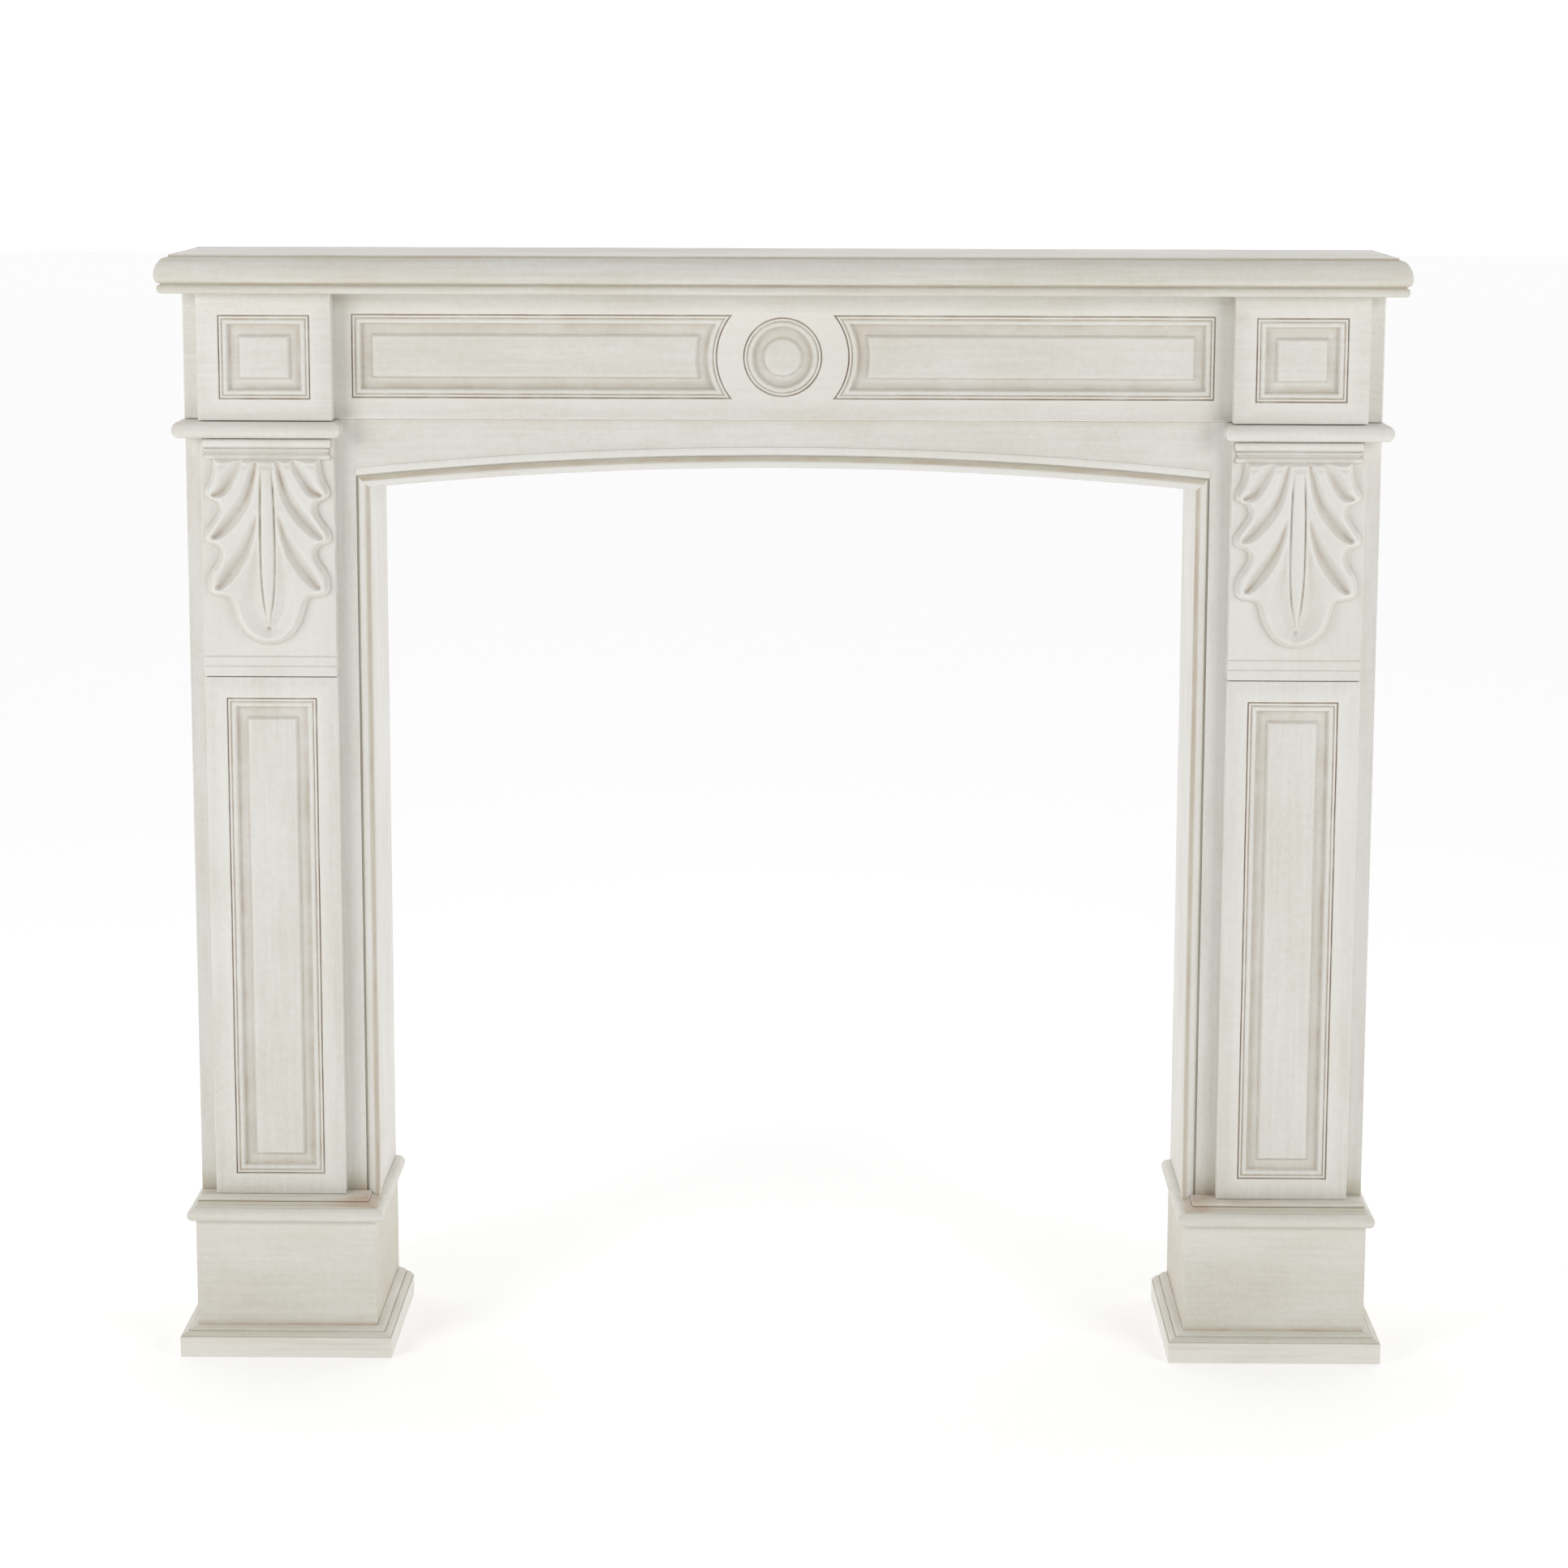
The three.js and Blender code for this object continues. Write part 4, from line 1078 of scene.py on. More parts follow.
# %% Draw the leaf's outline
LEAF_DROP = 25.5
CORNER_ROUNDS = 2
SLICES = 40
OUTLINE = [  # down, across
    (-9, 59.5), (0, 59.5), (10, 60.5), (20, 63.5), (28, 68), (35, 69.6), (39.5, 67.5), (42.5, 62),
    (44.8, 57), (49, 54.6), (54, 54.5), (60, 57.2), (67, 62), (75, 68.2), (83, 70.6), (88, 69.3),
    (91.5, 64.5), (93.5, 58), (97, 54.3), (101, 53.6), (106, 54.6), (112, 58), (121, 64.8), (131, 67.6),
    (141, 67.5), (146, 65.5), (149.5, 60), (151, 52), (151.8, 45.5), (155, 42.5), (163, 40.2), (173, 37.6),
    (184, 32.4), (193, 25.4), (199, 17.5), (202.5, 8.5), (203.5, 0),
]


def cut_corners(points):
    """Smooths a line, or a path with more values, by cutting its corners a few times. The ends stay."""
    points = np.array(points, float)
    for _ in range(CORNER_ROUNDS):
        low, high = 0.75 * points[:-1] + 0.25 * points[1:], 0.25 * points[:-1] + 0.75 * points[1:]
        points = np.vstack([points[:1], np.stack([low, high], 1).reshape(-1, points.shape[1]), points[-1:]])
    return points


leaf_line = cut_corners(OUTLINE)


def leaf_distance(across, down):
    """Distance from the outline, positive inside the leaf."""
    half = np.column_stack([leaf_line[:, 1], leaf_line[:, 0]])
    whole = np.vstack([half, half[::-1][1:] * np.array([-1, 1])])
    points = np.column_stack([across.ravel(), down.ravel()])
    a, b = whole, np.roll(whole, -1, axis=0)
    edge = b - a
    squares = (edge**2).sum(1) + 1e-12
    nearest = np.full(len(points), 1e9)
    for start, way, square in zip(a, edge, squares):
        gap = points - start
        t = np.clip(gap @ way / square, 0, 1)
        nearest = np.minimum(nearest, ((gap - t[:, None] * way) ** 2).sum(1))
    sign = np.concatenate([inside(whole, part) for part in np.array_split(points, SLICES)])
    return (np.sqrt(nearest) * np.where(sign, 1, -1)).reshape(across.shape)


print("outline of", len(leaf_line), "points a side")

# %% [markdown]
# ## The leaf block: its folds
# A carver cuts each fold with one long sweep of a gouge, from the rib out to the lobe's tip. The cut is
# narrow and shallow at the rib, then wide and deep, and stops short of the edge so that a rim is left.
# Its inner wall is steep with a crisp crest, and its outer side rises gently. So each cut is written as
# the gouge's path, with the width of its two sides and its depth at every point, and every point of the
# face finds its nearest place on that path.

# %% Sweep the gouge
LEAF_PROUD = 12.0
CUT_DEEPER, WALL_STEEPER, WALL_POWER = 1.75, 0.8, 1.35
CUTS = {  # across, down, width of the inner wall, width of the outer side, depth
    "upper lobe": [
        (30, 1, 6, 12, 3.0), (34.5, 10, 7, 13, 3.9), (38.5, 17, 7.5, 13, 4.5), (43.5, 26, 8, 12, 5.1),
        (50, 33.5, 7.5, 9.5, 5.0), (58.5, 37.5, 5.5, 6.5, 3.8),
    ],
    "middle lobe": [
        (11.5, 2, 3.5, 7.5, 2.4), (14.5, 15, 5, 9, 3.8), (17.5, 27, 6.5, 10, 4.5), (23, 42, 8.5, 11, 5.0),
        (32, 56, 9.5, 12, 5.5), (42, 68, 9.5, 12, 5.8), (52, 78.5, 8, 9.5, 5.2), (58, 83, 5.5, 6.5, 3.8),
    ],
    "lower lobe": [
        (11.8, 58, 2.5, 5, 0.6), (14.5, 70, 4, 7, 2.4), (17, 80, 5, 9, 3.4), (20.5, 90, 6.5, 11, 4.4),
        (26, 101, 8.5, 12, 5.2), (33.5, 112.5, 9.5, 13, 5.6), (42, 124.5, 9.5, 13, 5.9),
        (50, 134.5, 7.5, 10, 4.8), (54, 138.5, 5.5, 7, 3.6),
    ],
    "tongue": [
        (11, 86, 3, 4, 0.4), (12.5, 104, 5, 6.5, 1.6), (14.5, 122, 8, 9, 2.6), (16.5, 138, 12, 13, 3.2),
        (17, 152, 14, 17, 3.4), (15, 166, 14, 18, 3.3), (9, 178, 12, 17, 2.8), (1, 185, 10, 13, 2.2),
    ],
}


def nearest_on_path(path, across, down):
    """For every point: its distance from a path, its side of it, and the path's own values at that place."""
    best = np.full(across.shape, 1e9)
    side = np.ones(across.shape)
    values = np.zeros((*across.shape, path.shape[1] - 2))
    for start, end in zip(path[:-1], path[1:]):
        way = end[:2] - start[:2]
        gap_x, gap_y = across - start[0], down - start[1]
        share = np.clip((gap_x * way[0] + gap_y * way[1]) / (way @ way), 0, 1)
        distance = np.hypot(gap_x - share * way[0], gap_y - share * way[1])
        closer = distance < best
        best = np.where(closer, distance, best)
        side = np.where(closer, np.sign(gap_x * way[1] - gap_y * way[0]), side)
        here = start[2:] + share[..., None] * (end[2:] - start[2:])
        values = np.where(closer[..., None], here, values)
    return best, side, values


def gouged(across, down):
    """Depth of all the gouge cuts together. Where two meet, the deeper one counts."""
    depth = np.zeros(across.shape)
    for points in CUTS.values():
        distance, side, values = nearest_on_path(cut_corners(points), across, down)
        inner, outer, deep = WALL_STEEPER * values[..., 0], values[..., 1], CUT_DEEPER * values[..., 2]
        wall = 1 - np.clip(distance / inner, 0, 1) ** WALL_POWER
        gentle = np.cos(np.pi / 2 * np.clip(distance / outer, 0, 1)) ** 2
        depth = np.maximum(depth, deep * np.where(side > 0, gentle, wall))
    return depth


print("cuts:", ", ".join(CUTS))

# %% [markdown]
# ## The leaf block: rib, lip and rim
# A raised rib runs down the middle between two fine grooves and ends above a drilled pit. Under the reeds
# the leaf starts with a small flat lip. Its outer side has two facets, as two cuts of a chisel leave
# them, which shows as a double line round the lobes.

# %% Shape the leaf's surface
RIB = cut_corners([
    (0, 6.0), (30, 7.0), (50, 7.8), (100, 8.3), (130, 7.6),
    (150, 5.9), (160, 4.7), (170, 2.8), (178, 0.9), (181, 0.1),
])
RIB_PROUD, RIB_FALL, RIB_POWER = 0.9, 2.2, 2.6
LIP = [(-2.6, 6.0), (-1.4, 8.6), (0.4, 11.6), (3.2, 12.2), (4.6, 10.2), (8.0, 11.8), (9.5, 14.0)]
SIDE = [(0, 0.0), (0.8, 4.8), (1.5, 5.8), (3.4, 8.6), (5.6, 11.3), (7.2, 12.2), (9.0, 13.6)]
PIT_DOWN, PIT_RADIUS, PIT_DEPTH = 185, 2.1, 3.4
GROOVE_WIDTH, GROOVE_DEPTH = 1.1, 3.4
GROOVE_START, GROOVE_END = 8, 181
GROOVE_DEEPENS, GROOVE_FADES = 24, 30


def ease_in(share):
    return 0.5 - 0.5 * np.cos(np.pi * np.clip(share, 0, 1))


def leaf_surface(across, down, edge):
    """Height of the leaf above its block, from the place on the face and the distance to the outline."""
    across = np.abs(across)
    face = LEAF_PROUD - gouged(across, down)
    half = line_at(RIB, down)
    share = np.clip(across / np.maximum(half, 0.1), 0, 1)
    crown = LEAF_PROUD + RIB_PROUD - RIB_FALL * share**RIB_POWER
    face = np.where(across < half, crown, face)
    fade = ease_in((down - GROOVE_START) / GROOVE_DEEPENS) * ease_in((GROOVE_END - down) / GROOVE_FADES)
    face -= GROOVE_DEPTH * fade * np.exp(-(((across - half) / GROOVE_WIDTH) ** 2))
    face -= PIT_DEPTH * np.exp(-((across**2 + (down - PIT_DOWN) ** 2) / PIT_RADIUS**2))
    return np.minimum(np.minimum(face, line_at(LIP, down)), line_at(SIDE, edge))


places = np.array([10.0, 100.0, 170.0])
print("rib stands", leaf_surface(np.zeros(3), places, np.full(3, 20.0)).round(1), "mm proud")

# %% [markdown]
# ## The leaf block: reeds and lines
# Three reeds run across the block's head, the broadest on top, and turn in at their ends. Two lines are
# incised across its foot. The height of every point of the face is the highest of the flat ground, the reeds
# and the leaf, with the lines cut into the ground. One formula for the height saves joining separate meshes.

# %% Set the reeds and the lines
block_x, block_y, block_z = span("leaf_block_right")
ground_y = span("pilaster_panel_right")[1][0]
block_middle = sum(block_x) / 2
block_half = (block_x[1] - block_x[0]) / 2
REED_HEIGHT = 23.5
REED_NOSE = 9
REED_PROFILE = rounded(
    [(0, 0.1), (3.2, 0.4), *swell((3.6, 0.7), (4.0, 6.6), 3.8, 10), (3.1, 7.2), (2.8, 8.6),
     *swell((3.6, 9.2), (3.6, 12.2), 2.2, 8), (3.0, 12.7), (3.0, 13.2),
     *swell((4.2, 13.5), (4.2, REED_HEIGHT), REED_NOSE - 4.2, 16)],
    0.25, closed=False,
)
REED_FOOT = 0.1
REED_END_IN, REED_END_WAVE, REED_END_ROUND = 2.5, 0.6, 1.2
INCISED = (11.5, 22.5)
INCISED_HALF, INCISED_DEPTH = 0.9, 1.7
FLAT = 0.5


def on_the_leaf(x, z):
    """A place on the block's face as distances across from its middle and down from the leaf's top."""
    return x - block_middle, block_z[1] - LEAF_DROP - z


def block_height(x, z):
    """Height above the ground of the block's face, and the distance from the leaf's outline."""
    across, down = on_the_leaf(x, z)
    edge = leaf_distance(across, down)
    leaf = np.where(edge > 0, leaf_surface(across, down, edge), 0)
    up = z - (block_z[1] - REED_HEIGHT)
    reed = np.where(up > REED_FOOT, line_at(REED_PROFILE[:, ::-1], up), 0)
    to_end = block_half - REED_END_IN - REED_END_WAVE * (REED_NOSE - reed) - abs(across)
    turned = np.clip(to_end / REED_END_ROUND, 0, 1)
    reed = reed * np.sqrt(np.clip(1 - (1 - turned) ** 2, 0, 1))
    height = np.maximum(leaf, reed)
    for line in INCISED:
        near = np.clip(1 - np.abs(z - (block_z[0] + line)) / INCISED_HALF, 0, 1)
        height = np.where(height < FLAT, height - INCISED_DEPTH * near, height)
    return height, edge


print("leaf block", round(2 * block_half, 1), "mm wide")

# %% [markdown]
# ## The leaf block: the carved face
# The face is one sheet of points, closer together where the reeds, the lines and the rims need it. The steps
# are less than a millimetre. The steps are as fine as a limit of 200,000 triangles for each block allows. A
# displaced plane would do the same, but here each row can sit exactly on a line. The height is softened a
# little, as sandpaper does, and the rims are eased.

# %% Carve the face
SHEET_STEP, FINE_STEP = 0.74, 0.35
FINE_END, FINE_FOOT, FINE_HEAD, FINE_LINE = 9, 1.5, 7, 1.6
BLOCK_RIM, RIM_DEPTH = 1.2, 0.8


def graded(low, high, fine_spans):
    """Places from low to high, closer together inside the fine spans."""
    stops = [low]
    while stops[-1] < high:
        fine = any(a - SHEET_STEP < stops[-1] < b for a, b in fine_spans)
        stops.append(stops[-1] + (FINE_STEP if fine else SHEET_STEP))
    stops[-1] = high
    return np.array(stops)


def blurred(height, rounds):
    """A softer version of the height field, by repeated averaging."""
    result = height.copy()
    for _ in range(rounds):
        padded = np.pad(result, 1, mode="edge")
        beside = padded[:-2, 1:-1] + padded[2:, 1:-1] + padded[1:-1, :-2] + padded[1:-1, 2:]
        result = (beside + 2 * result) / 6
    return result


def carved_face():
    """X, Z, height and distance from the leaf's outline of every point of the sheet."""
    ends = [(block_x[0], block_x[0] + FINE_END), (block_x[1] - FINE_END, block_x[1])]
    fine = [(block_z[0], block_z[0] + FINE_FOOT), (block_z[1] - REED_HEIGHT - FINE_HEAD, block_z[1])]
    fine += [(block_z[0] + line - FINE_LINE, block_z[0] + line + FINE_LINE) for line in INCISED]
    x, z = np.meshgrid(graded(*block_x, ends), graded(*block_z, fine))
    height, edge = block_height(x, z)
    height = blurred(height, 1)
    near = np.minimum(np.minimum(x - block_x[0], block_x[1] - x), np.minimum(z - block_z[0], block_z[1] - z))
    fall = 1 - np.sqrt(np.clip(1 - (1 - np.clip(near / BLOCK_RIM, 0, 1)) ** 2, 0, 1))
    height -= BLOCK_RIM * fall * RIM_DEPTH
    return x, z, height, edge


x, z, height, edge = carved_face()
print("sheet of", height.size, "points, up to", round(height.max(), 1), "mm proud")

# %% [markdown]
# ## The leaf block: glaze and painted shade in the carving
# On a profile a disc finds the hollows. On a height field it is simpler: a point that lies lower than its
# softened surroundings is in a hollow. The stain there is partly glaze and partly painted shade, which deepens
# the folds. The ground just round the leaf lies low too, but it was wiped clean, so it counts for little there.
# It also counts less in the grooves beside the rib and in the incised lines, and a thin darker band runs along
# the leaf's side.

# %% Find the carving's hollows
WIDE_BLUR, HOLLOW_PER_MM = 14, 1.1
ROUND_THE_LEAF, ELSEWHERE = 0.25, 0.62
ROUND_FROM, ROUND_TO = -8, 0.5
IN_LINES, LINE_REACH = 0.4, 3
LESS_IN_GROOVES, GROOVE_REACH = 0.4, 2
# A thin darker band along the foot of the leaf's side.
SIDE_BAND, SIDE_BAND_IN, SIDE_BAND_WIDTH = 0.35, 2.4, 2.2


def carved_glaze_and_shade(x, z, height, edge):
    """Hollowness, for glaze and painted shade, and the darker band along the leaf's side, for every point of
    the sheet.
    """
    hollow = np.clip((blurred(height, WIDE_BLUR) - height) * HOLLOW_PER_MM, -1, 1)
    hollow *= np.where((edge < ROUND_TO) & (edge > ROUND_FROM), ROUND_THE_LEAF, ELSEWHERE)
    across, down = on_the_leaf(x, z)
    to_groove = (abs(across) - line_at(RIB, down)) / (GROOVE_REACH * GROOVE_WIDTH)
    hollow *= 1 - LESS_IN_GROOVES * np.exp(-(to_groove**2))
    for line in INCISED:
        hollow *= np.where(abs(z - block_z[0] - line) < LINE_REACH * INCISED_HALF, IN_LINES, 1)
    dirt_and_shade = SIDE_BAND * np.exp(-(((edge - SIDE_BAND_IN) / SIDE_BAND_WIDTH) ** 2))
    return hollow, dirt_and_shade


hollow, dirt_and_shade = carved_glaze_and_shade(x, z, height, edge)
print("hollow from", hollow.min().round(2), "to", hollow.max().round(2))

# %% [markdown]
# ## The leaf block: the solid
# The sheet becomes a solid block: the border is carried straight back to the leg, and one face closes the
# back.

# %% Make the leaf blocks
def leaf_block():
    sheet = np.stack([x, ground_y - height, z], axis=2)
    count_z, count_x = x.shape
    index = np.arange(count_z * count_x).reshape(count_z, count_x)
    faces = np.stack([index[:-1, :-1], index[:-1, 1:], index[1:, 1:], index[1:, :-1]], axis=2).reshape(-1, 4)
    border = np.concatenate([index[0], index[1:, -1], index[-1, -2::-1], index[-2:0:-1, 0]])
    points = sheet.reshape(-1, 3)
    back = points[border].copy()
    back[:, 1] = block_y[1]
    last = len(points) + np.arange(len(border))
    sides = np.stack([border, last, np.roll(last, -1), np.roll(border, -1)], axis=1)
    all_faces = [tuple(f) for f in np.vstack([faces, sides]).tolist()] + [tuple(last.tolist())]
    plain = np.zeros(len(back))
    shares = [np.concatenate([values.ravel(), plain]) for values in (hollow, dirt_and_shade)]
    return np.vstack([points, back]), all_faces, shares[0], "z", shares[1]


make_pair("leaf_block", "paint_carving", *leaf_block())

# %% [markdown]
# ## The paint's colours
# Antique white is never one colour. The ground is a slightly warm white, streaked the way the brush went. Over
# it lies the wiped glaze, strong in the hollows and gone from the arrises, and a fine crackle. Some painted
# shade also darkens the hollows, and a painted highlight lightens the arrises. Image textures could hold all
# this, but noise that follows each piece's own length needs no picture and has no seams. The class gives the
# nodes that the paint is made of short names.

# %% Mix the colours
def linear(red, green, blue):
    """A screen colour, 0 to 255, as the linear colour that materials use."""
    return tuple(((c / 255 + 0.055) / 1.055) ** 2.4 for c in (red, green, blue)) + (1.0,)


COOL_WHITE = linear(227, 225, 220)
WARM_WHITE = linear(206, 202, 187)
# The palest white, for rubbed paint and for a painted highlight on the arrises.
ARRIS_WEAR_HIGHLIGHT_WHITE = linear(236, 234, 228)
GLAZE_LIGHT = linear(192, 173, 154)
GLAZE_DARK = linear(132, 117, 98)


class Mixer:
    """A paint that is being mixed, with short names for its nodes."""

    def __init__(self, name):
        self.material = bpy.data.materials.new(name)
        self.material.use_nodes = True
        self.tree = self.material.node_tree
        self.shader = self.tree.nodes["Principled BSDF"]
        self.brush = self.attribute("brush", "Vector")
        self.hollow = self.attribute("hollow", "Fac")
        self.film_and_shade = self.attribute("film_and_shade", "Fac")

    def attribute(self, name, output):
        return add_node(self.tree, "ShaderNodeAttribute", {"attribute_name": name}).outputs[output]

    def stretched(self, scale):
        return add_node(self.tree, "ShaderNodeMapping", Vector=self.brush, Scale=scale).outputs[0]

    def noise(self, vector, scale, detail, roughness=0.5):
        return add_node(
            self.tree, "ShaderNodeTexNoise", Vector=vector, Scale=scale, Detail=detail, Roughness=roughness
        ).outputs[0]

    def math(self, operation, a, b):
        return add_node(self.tree, "ShaderNodeMath", {"operation": operation}, i0=a, i1=b).outputs[0]

    def plus(self, a, b, share):
        """a plus a share of b."""
        return self.math("ADD", a, self.math("MULTIPLY", b, share))

    def between(self, value, low, high, to_low=0.0, to_high=1.0):
        return add_node(
            self.tree, "ShaderNodeMapRange",
            Value=value, From_Min=low, From_Max=high, To_Min=to_low, To_Max=to_high,
        ).outputs[0]

    def mix(self, factor, a, b):
        return add_node(self.tree, "ShaderNodeMix", {"data_type": "RGBA"}, Factor=factor, i6=a, i7=b).outputs[2]


print("lightest", [round(c, 3) for c in ARRIS_WEAR_HIGHLIGHT_WHITE[:3]], "darkest", [round(c, 3) for c in GLAZE_DARK[:3]])

# %% [markdown]
# ## The ground coat
# The white itself runs between cool and warm. The film on the piece sets the middle, and slow clouds, streaks
# along the brush and fine specks shift it. Hollows are a little warmer, partly for glaze and partly as painted
# shade. The arrises are the palest, partly for paint that hands and dusters rub and partly as a painted
# highlight. Mapping each noise to a range first keeps its share easy to set.

# %% Paint the ground coat
CLOUD_STRETCH, STREAK_STRETCH = (1, 2.2, 1), (9, 210, 60)
CLOUD_SHARE, STREAK_SHARE, SPECK_SHARE = 0.16, 0.17, 0.09
SPECK_SCALE = 150
ARRIS_WEAR_HIGHLIGHT_FROM, ARRIS_WEAR_HIGHLIGHT_TO, ARRIS_WEAR_HIGHLIGHT_SHARE = -0.12, -0.55, 0.75


def brush_streaks(mixer):
    """Fine streaks along the brush, from -1 to 1."""
    return mixer.between(mixer.noise(mixer.stretched(STREAK_STRETCH), 1, 4, 0.6), 0.3, 0.7, -1.0, 1.0)


def ground_coat(mixer, streaks, streak, mottle):
    """The colour of the white."""
    clouds = mixer.between(mixer.noise(mixer.stretched(CLOUD_STRETCH), 6, 3), 0.35, 0.65, -1.0, 1.0)
    specks = mixer.between(mixer.noise(mixer.brush, SPECK_SCALE, 3), 0.35, 0.65, -1.0, 1.0)
    tint = mixer.plus(mixer.film_and_shade, clouds, CLOUD_SHARE)
    tint = mixer.plus(tint, streaks, STREAK_SHARE * streak)
    tint = mixer.plus(tint, specks, SPECK_SHARE * mottle)
    # Hollows turn warmer: partly glaze, partly painted shade that deepens the carving's folds.
    tint = mixer.math("ADD", tint, mixer.between(mixer.hollow, 0.0, 0.8, 0.0, 0.4))
    colour = mixer.mix(mixer.between(tint, 0.0, 1.0), COOL_WHITE, WARM_WHITE)
    # Painted highlight: the arrises go towards the palest white, partly for rubbed paint.
    arris = mixer.between(mixer.hollow, ARRIS_WEAR_HIGHLIGHT_FROM, ARRIS_WEAR_HIGHLIGHT_TO)
    return mixer.mix(mixer.math("MULTIPLY", arris, ARRIS_WEAR_HIGHLIGHT_SHARE), colour, ARRIS_WEAR_HIGHLIGHT_WHITE)


print("arrises", ARRIS_WEAR_HIGHLIGHT_SHARE, "of the way to the palest white")

# %% [markdown]
# ## The wiped glaze
# The glaze is brown where it stayed: in the quirks, where the film is thick, and in a few rubbed streaks. In
# the carving's folds and where a piece's film stands for shade, this brown is partly painted shade.
# A patchy noise breaks it up, because a cloth never wipes evenly, and the deepest grooves get a second,
# darker brown. Taking the greater of the quirks and the film, not their sum, keeps a dirty corner from
# going black.

# %% Wipe the glaze
QUIRK_FROM, QUIRK_TO = 0.08, 0.62
BROWN_FROM, BROWN_TO = 0.95, 2.2
PATCH_SCALE = 34
RUB_STRETCH = (5, 120, 90)
DEEP_FROM, DEEP_TO, DEEP_SHARE = 0.5, 0.95, 0.75


def wiped_glaze(mixer, colour, glaze, rub):
    """The colour with the brown glaze over it."""
    patchy = mixer.between(mixer.noise(mixer.brush, PATCH_SCALE, 3), 0.36, 0.66, 0.2, 1.0)
    quirk = mixer.math("MULTIPLY", mixer.between(mixer.hollow, QUIRK_FROM, QUIRK_TO), glaze)
    brown = mixer.between(mixer.film_and_shade, BROWN_FROM, BROWN_TO)
    stain = mixer.math("MULTIPLY", mixer.math("MAXIMUM", quirk, brown), patchy)
    rubbed = mixer.between(mixer.noise(mixer.stretched(RUB_STRETCH), 1, 5, 0.65), 0.5, 0.7)
    rubbed = mixer.math("MULTIPLY", rubbed, mixer.math("MULTIPLY", mixer.between(mixer.film_and_shade, 0.2, 1.2), rub))
    stain = mixer.math("MINIMUM", mixer.math("ADD", stain, rubbed), 1.0)
    colour = mixer.mix(stain, colour, GLAZE_LIGHT)
    deep = mixer.math("MULTIPLY", mixer.between(mixer.hollow, DEEP_FROM, DEEP_TO), patchy)
    return mixer.mix(mixer.math("MULTIPLY", deep, DEEP_SHARE * glaze), colour, GLAZE_DARK)


print("quirks turn brown from", QUIRK_FROM, "on")

# %% [markdown]
# ## Crackle, brush hairs and sheen
# Old paint crackles in patches, which the edges of Voronoi cells draw well. Brush hairs leave fine ridges
# along each piece, and the surface between them is faintly pebbled. Both are far too small to model, so
# they go into a bump, and the streaks also change how much the paint shines.

# %% Finish the surface
CRACK_SCALE, CRACK_WIDTH, CRACK_SHARE = 230.0, 0.12, 0.12
HAIR_STRETCH, PEEL_SCALE = (14, 600, 300), 300
HAIR_HEIGHT, PEEL_HEIGHT, CRACK_DEPTH = 0.6, 0.5, 0.6
BUMP, BUMP_DISTANCE = 0.6, 0.0003
SHINY, DULL = 0.42, 0.56


def crackle_lines(mixer):
    """1 on a crack, 0 beside it, in patches."""
    cells = add_node(
        mixer.tree, "ShaderNodeTexVoronoi", {"feature": "DISTANCE_TO_EDGE"},
        Vector=mixer.brush, Scale=CRACK_SCALE,
    ).outputs["Distance"]
    cracks = mixer.between(cells, 0.0, CRACK_WIDTH, 1.0, 0.0)
    return mixer.math("MULTIPLY", cracks, mixer.between(mixer.noise(mixer.brush, 9, 2), 0.5, 0.62))


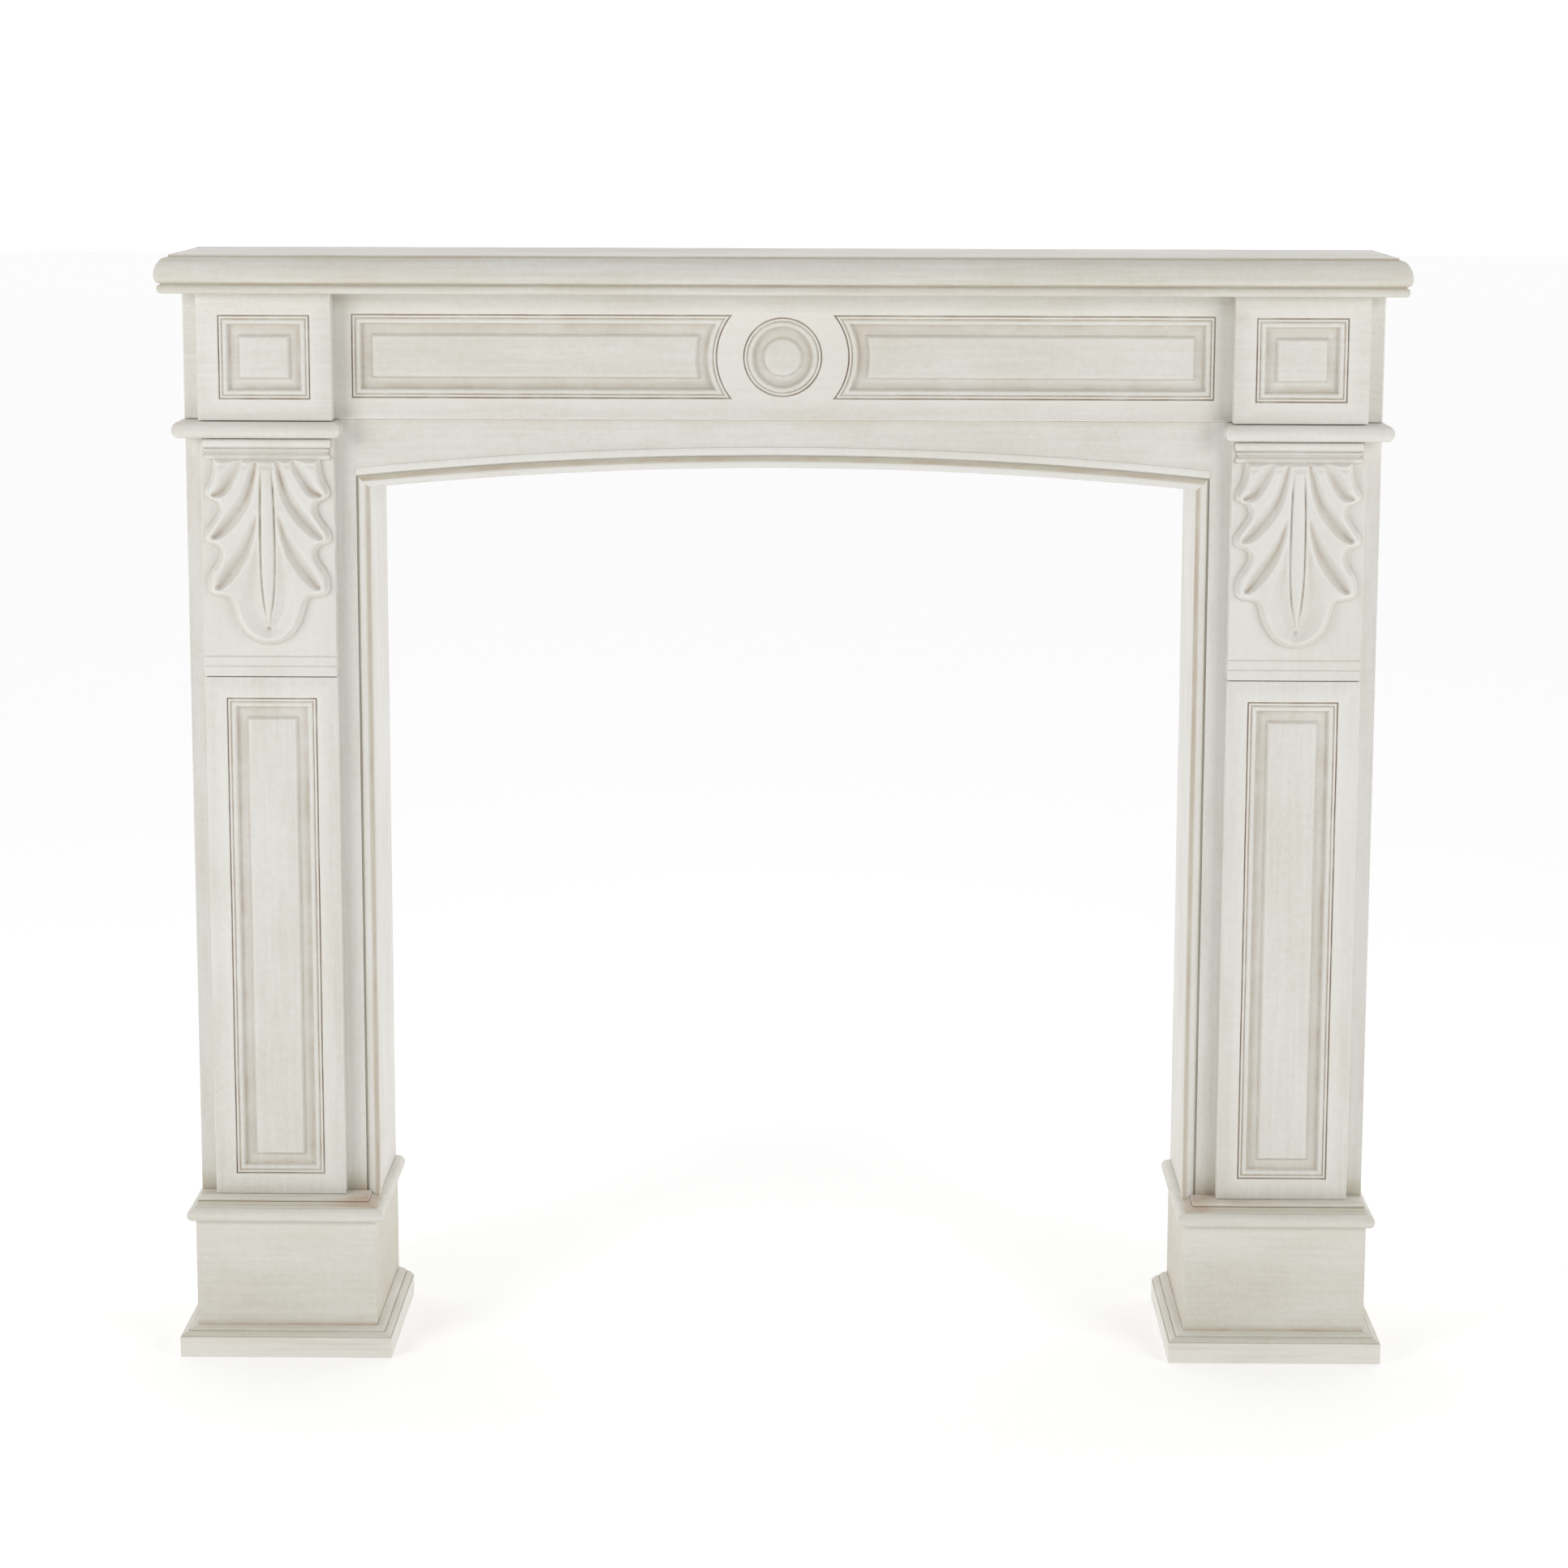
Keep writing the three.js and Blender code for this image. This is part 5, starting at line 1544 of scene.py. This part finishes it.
def surface(mixer, cracks, streak, mottle, crackle):
    """Brush hairs, a faint pebble and the cracks, as a bump."""
    hairs = mixer.noise(mixer.stretched(HAIR_STRETCH), 1, 3, 0.6)
    peel = mixer.noise(mixer.brush, PEEL_SCALE, 2)
    height = mixer.plus(mixer.math("MULTIPLY", hairs, HAIR_HEIGHT * streak), peel, PEEL_HEIGHT * mottle)
    height = mixer.math("SUBTRACT", height, mixer.math("MULTIPLY", cracks, CRACK_DEPTH * crackle))
    bump = add_node(mixer.tree, "ShaderNodeBump", Strength=BUMP, Distance=BUMP_DISTANCE, Height=height)
    return bump.outputs[0]


print("crackle cells of about", round(1000 / CRACK_SCALE, 1), "mm")

# %% [markdown]
# ## Three paints
# One recipe makes all the paint, and five numbers, each about 1 for the usual amount, set its streaks,
# mottling, glaze, rubbed streaks and crackle. The boards are plain. The run mouldings keep more rubbed
# glaze, and the carving is smoother, because a brush can't streak across a leaf.

# %% Paint the pieces
PAINTS = {  # streak, mottle, glaze, rub, crackle
    "paint_boards": (1.0, 1.0, 1.15, 0.15, 1.0),
    "paint_mouldings": (1.2, 0.9, 1.0, 0.6, 0.7),
    # The carving's glaze share also paints shade into the folds.
    "paint_carving": (0.35, 0.7, 0.8, 0.1, 0.3),
}


def antique_paint(name, streak, mottle, glaze, rub, crackle):
    """Antique white with a wiped glaze. Each number scales one effect."""
    mixer = Mixer(name)
    streaks = brush_streaks(mixer)
    cracks = crackle_lines(mixer)
    colour = wiped_glaze(mixer, ground_coat(mixer, streaks, streak, mottle), glaze, rub)
    colour = mixer.mix(mixer.math("MULTIPLY", cracks, CRACK_SHARE * crackle), colour, GLAZE_LIGHT)
    sheen = mixer.between(streaks, -1.0, 1.0, SHINY, DULL)
    normal = surface(mixer, cracks, streak, mottle, crackle)
    for socket, value in (("Base Color", colour), ("Roughness", sheen), ("Normal", normal)):
        mixer.tree.links.new(value, mixer.shader.inputs[socket])
    return mixer.material


paints = {name: antique_paint(name, *amounts) for name, amounts in PAINTS.items()}
for piece in made_pieces:
    piece.data.materials.append(paints[piece["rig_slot"]])
print(len(made_pieces), "pieces painted")

# %% [markdown]
# ## Checking the size
# Blender must not change the mantelpiece's size. The two boxes, before and after, are compared here, and the
# largest change is printed.

# %% Compare the sizes and finish
low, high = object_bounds()
sizes = {"cad": [list(cad_low), list(cad_high)], "visual": [list(low), list(high)]}
changes = [a - b for a, b in zip(sizes["visual"][0] + sizes["visual"][1], sizes["cad"][0] + sizes["cad"][1])]
print("largest change", round(1000 * max(changes, key=abs), 2), "mm")
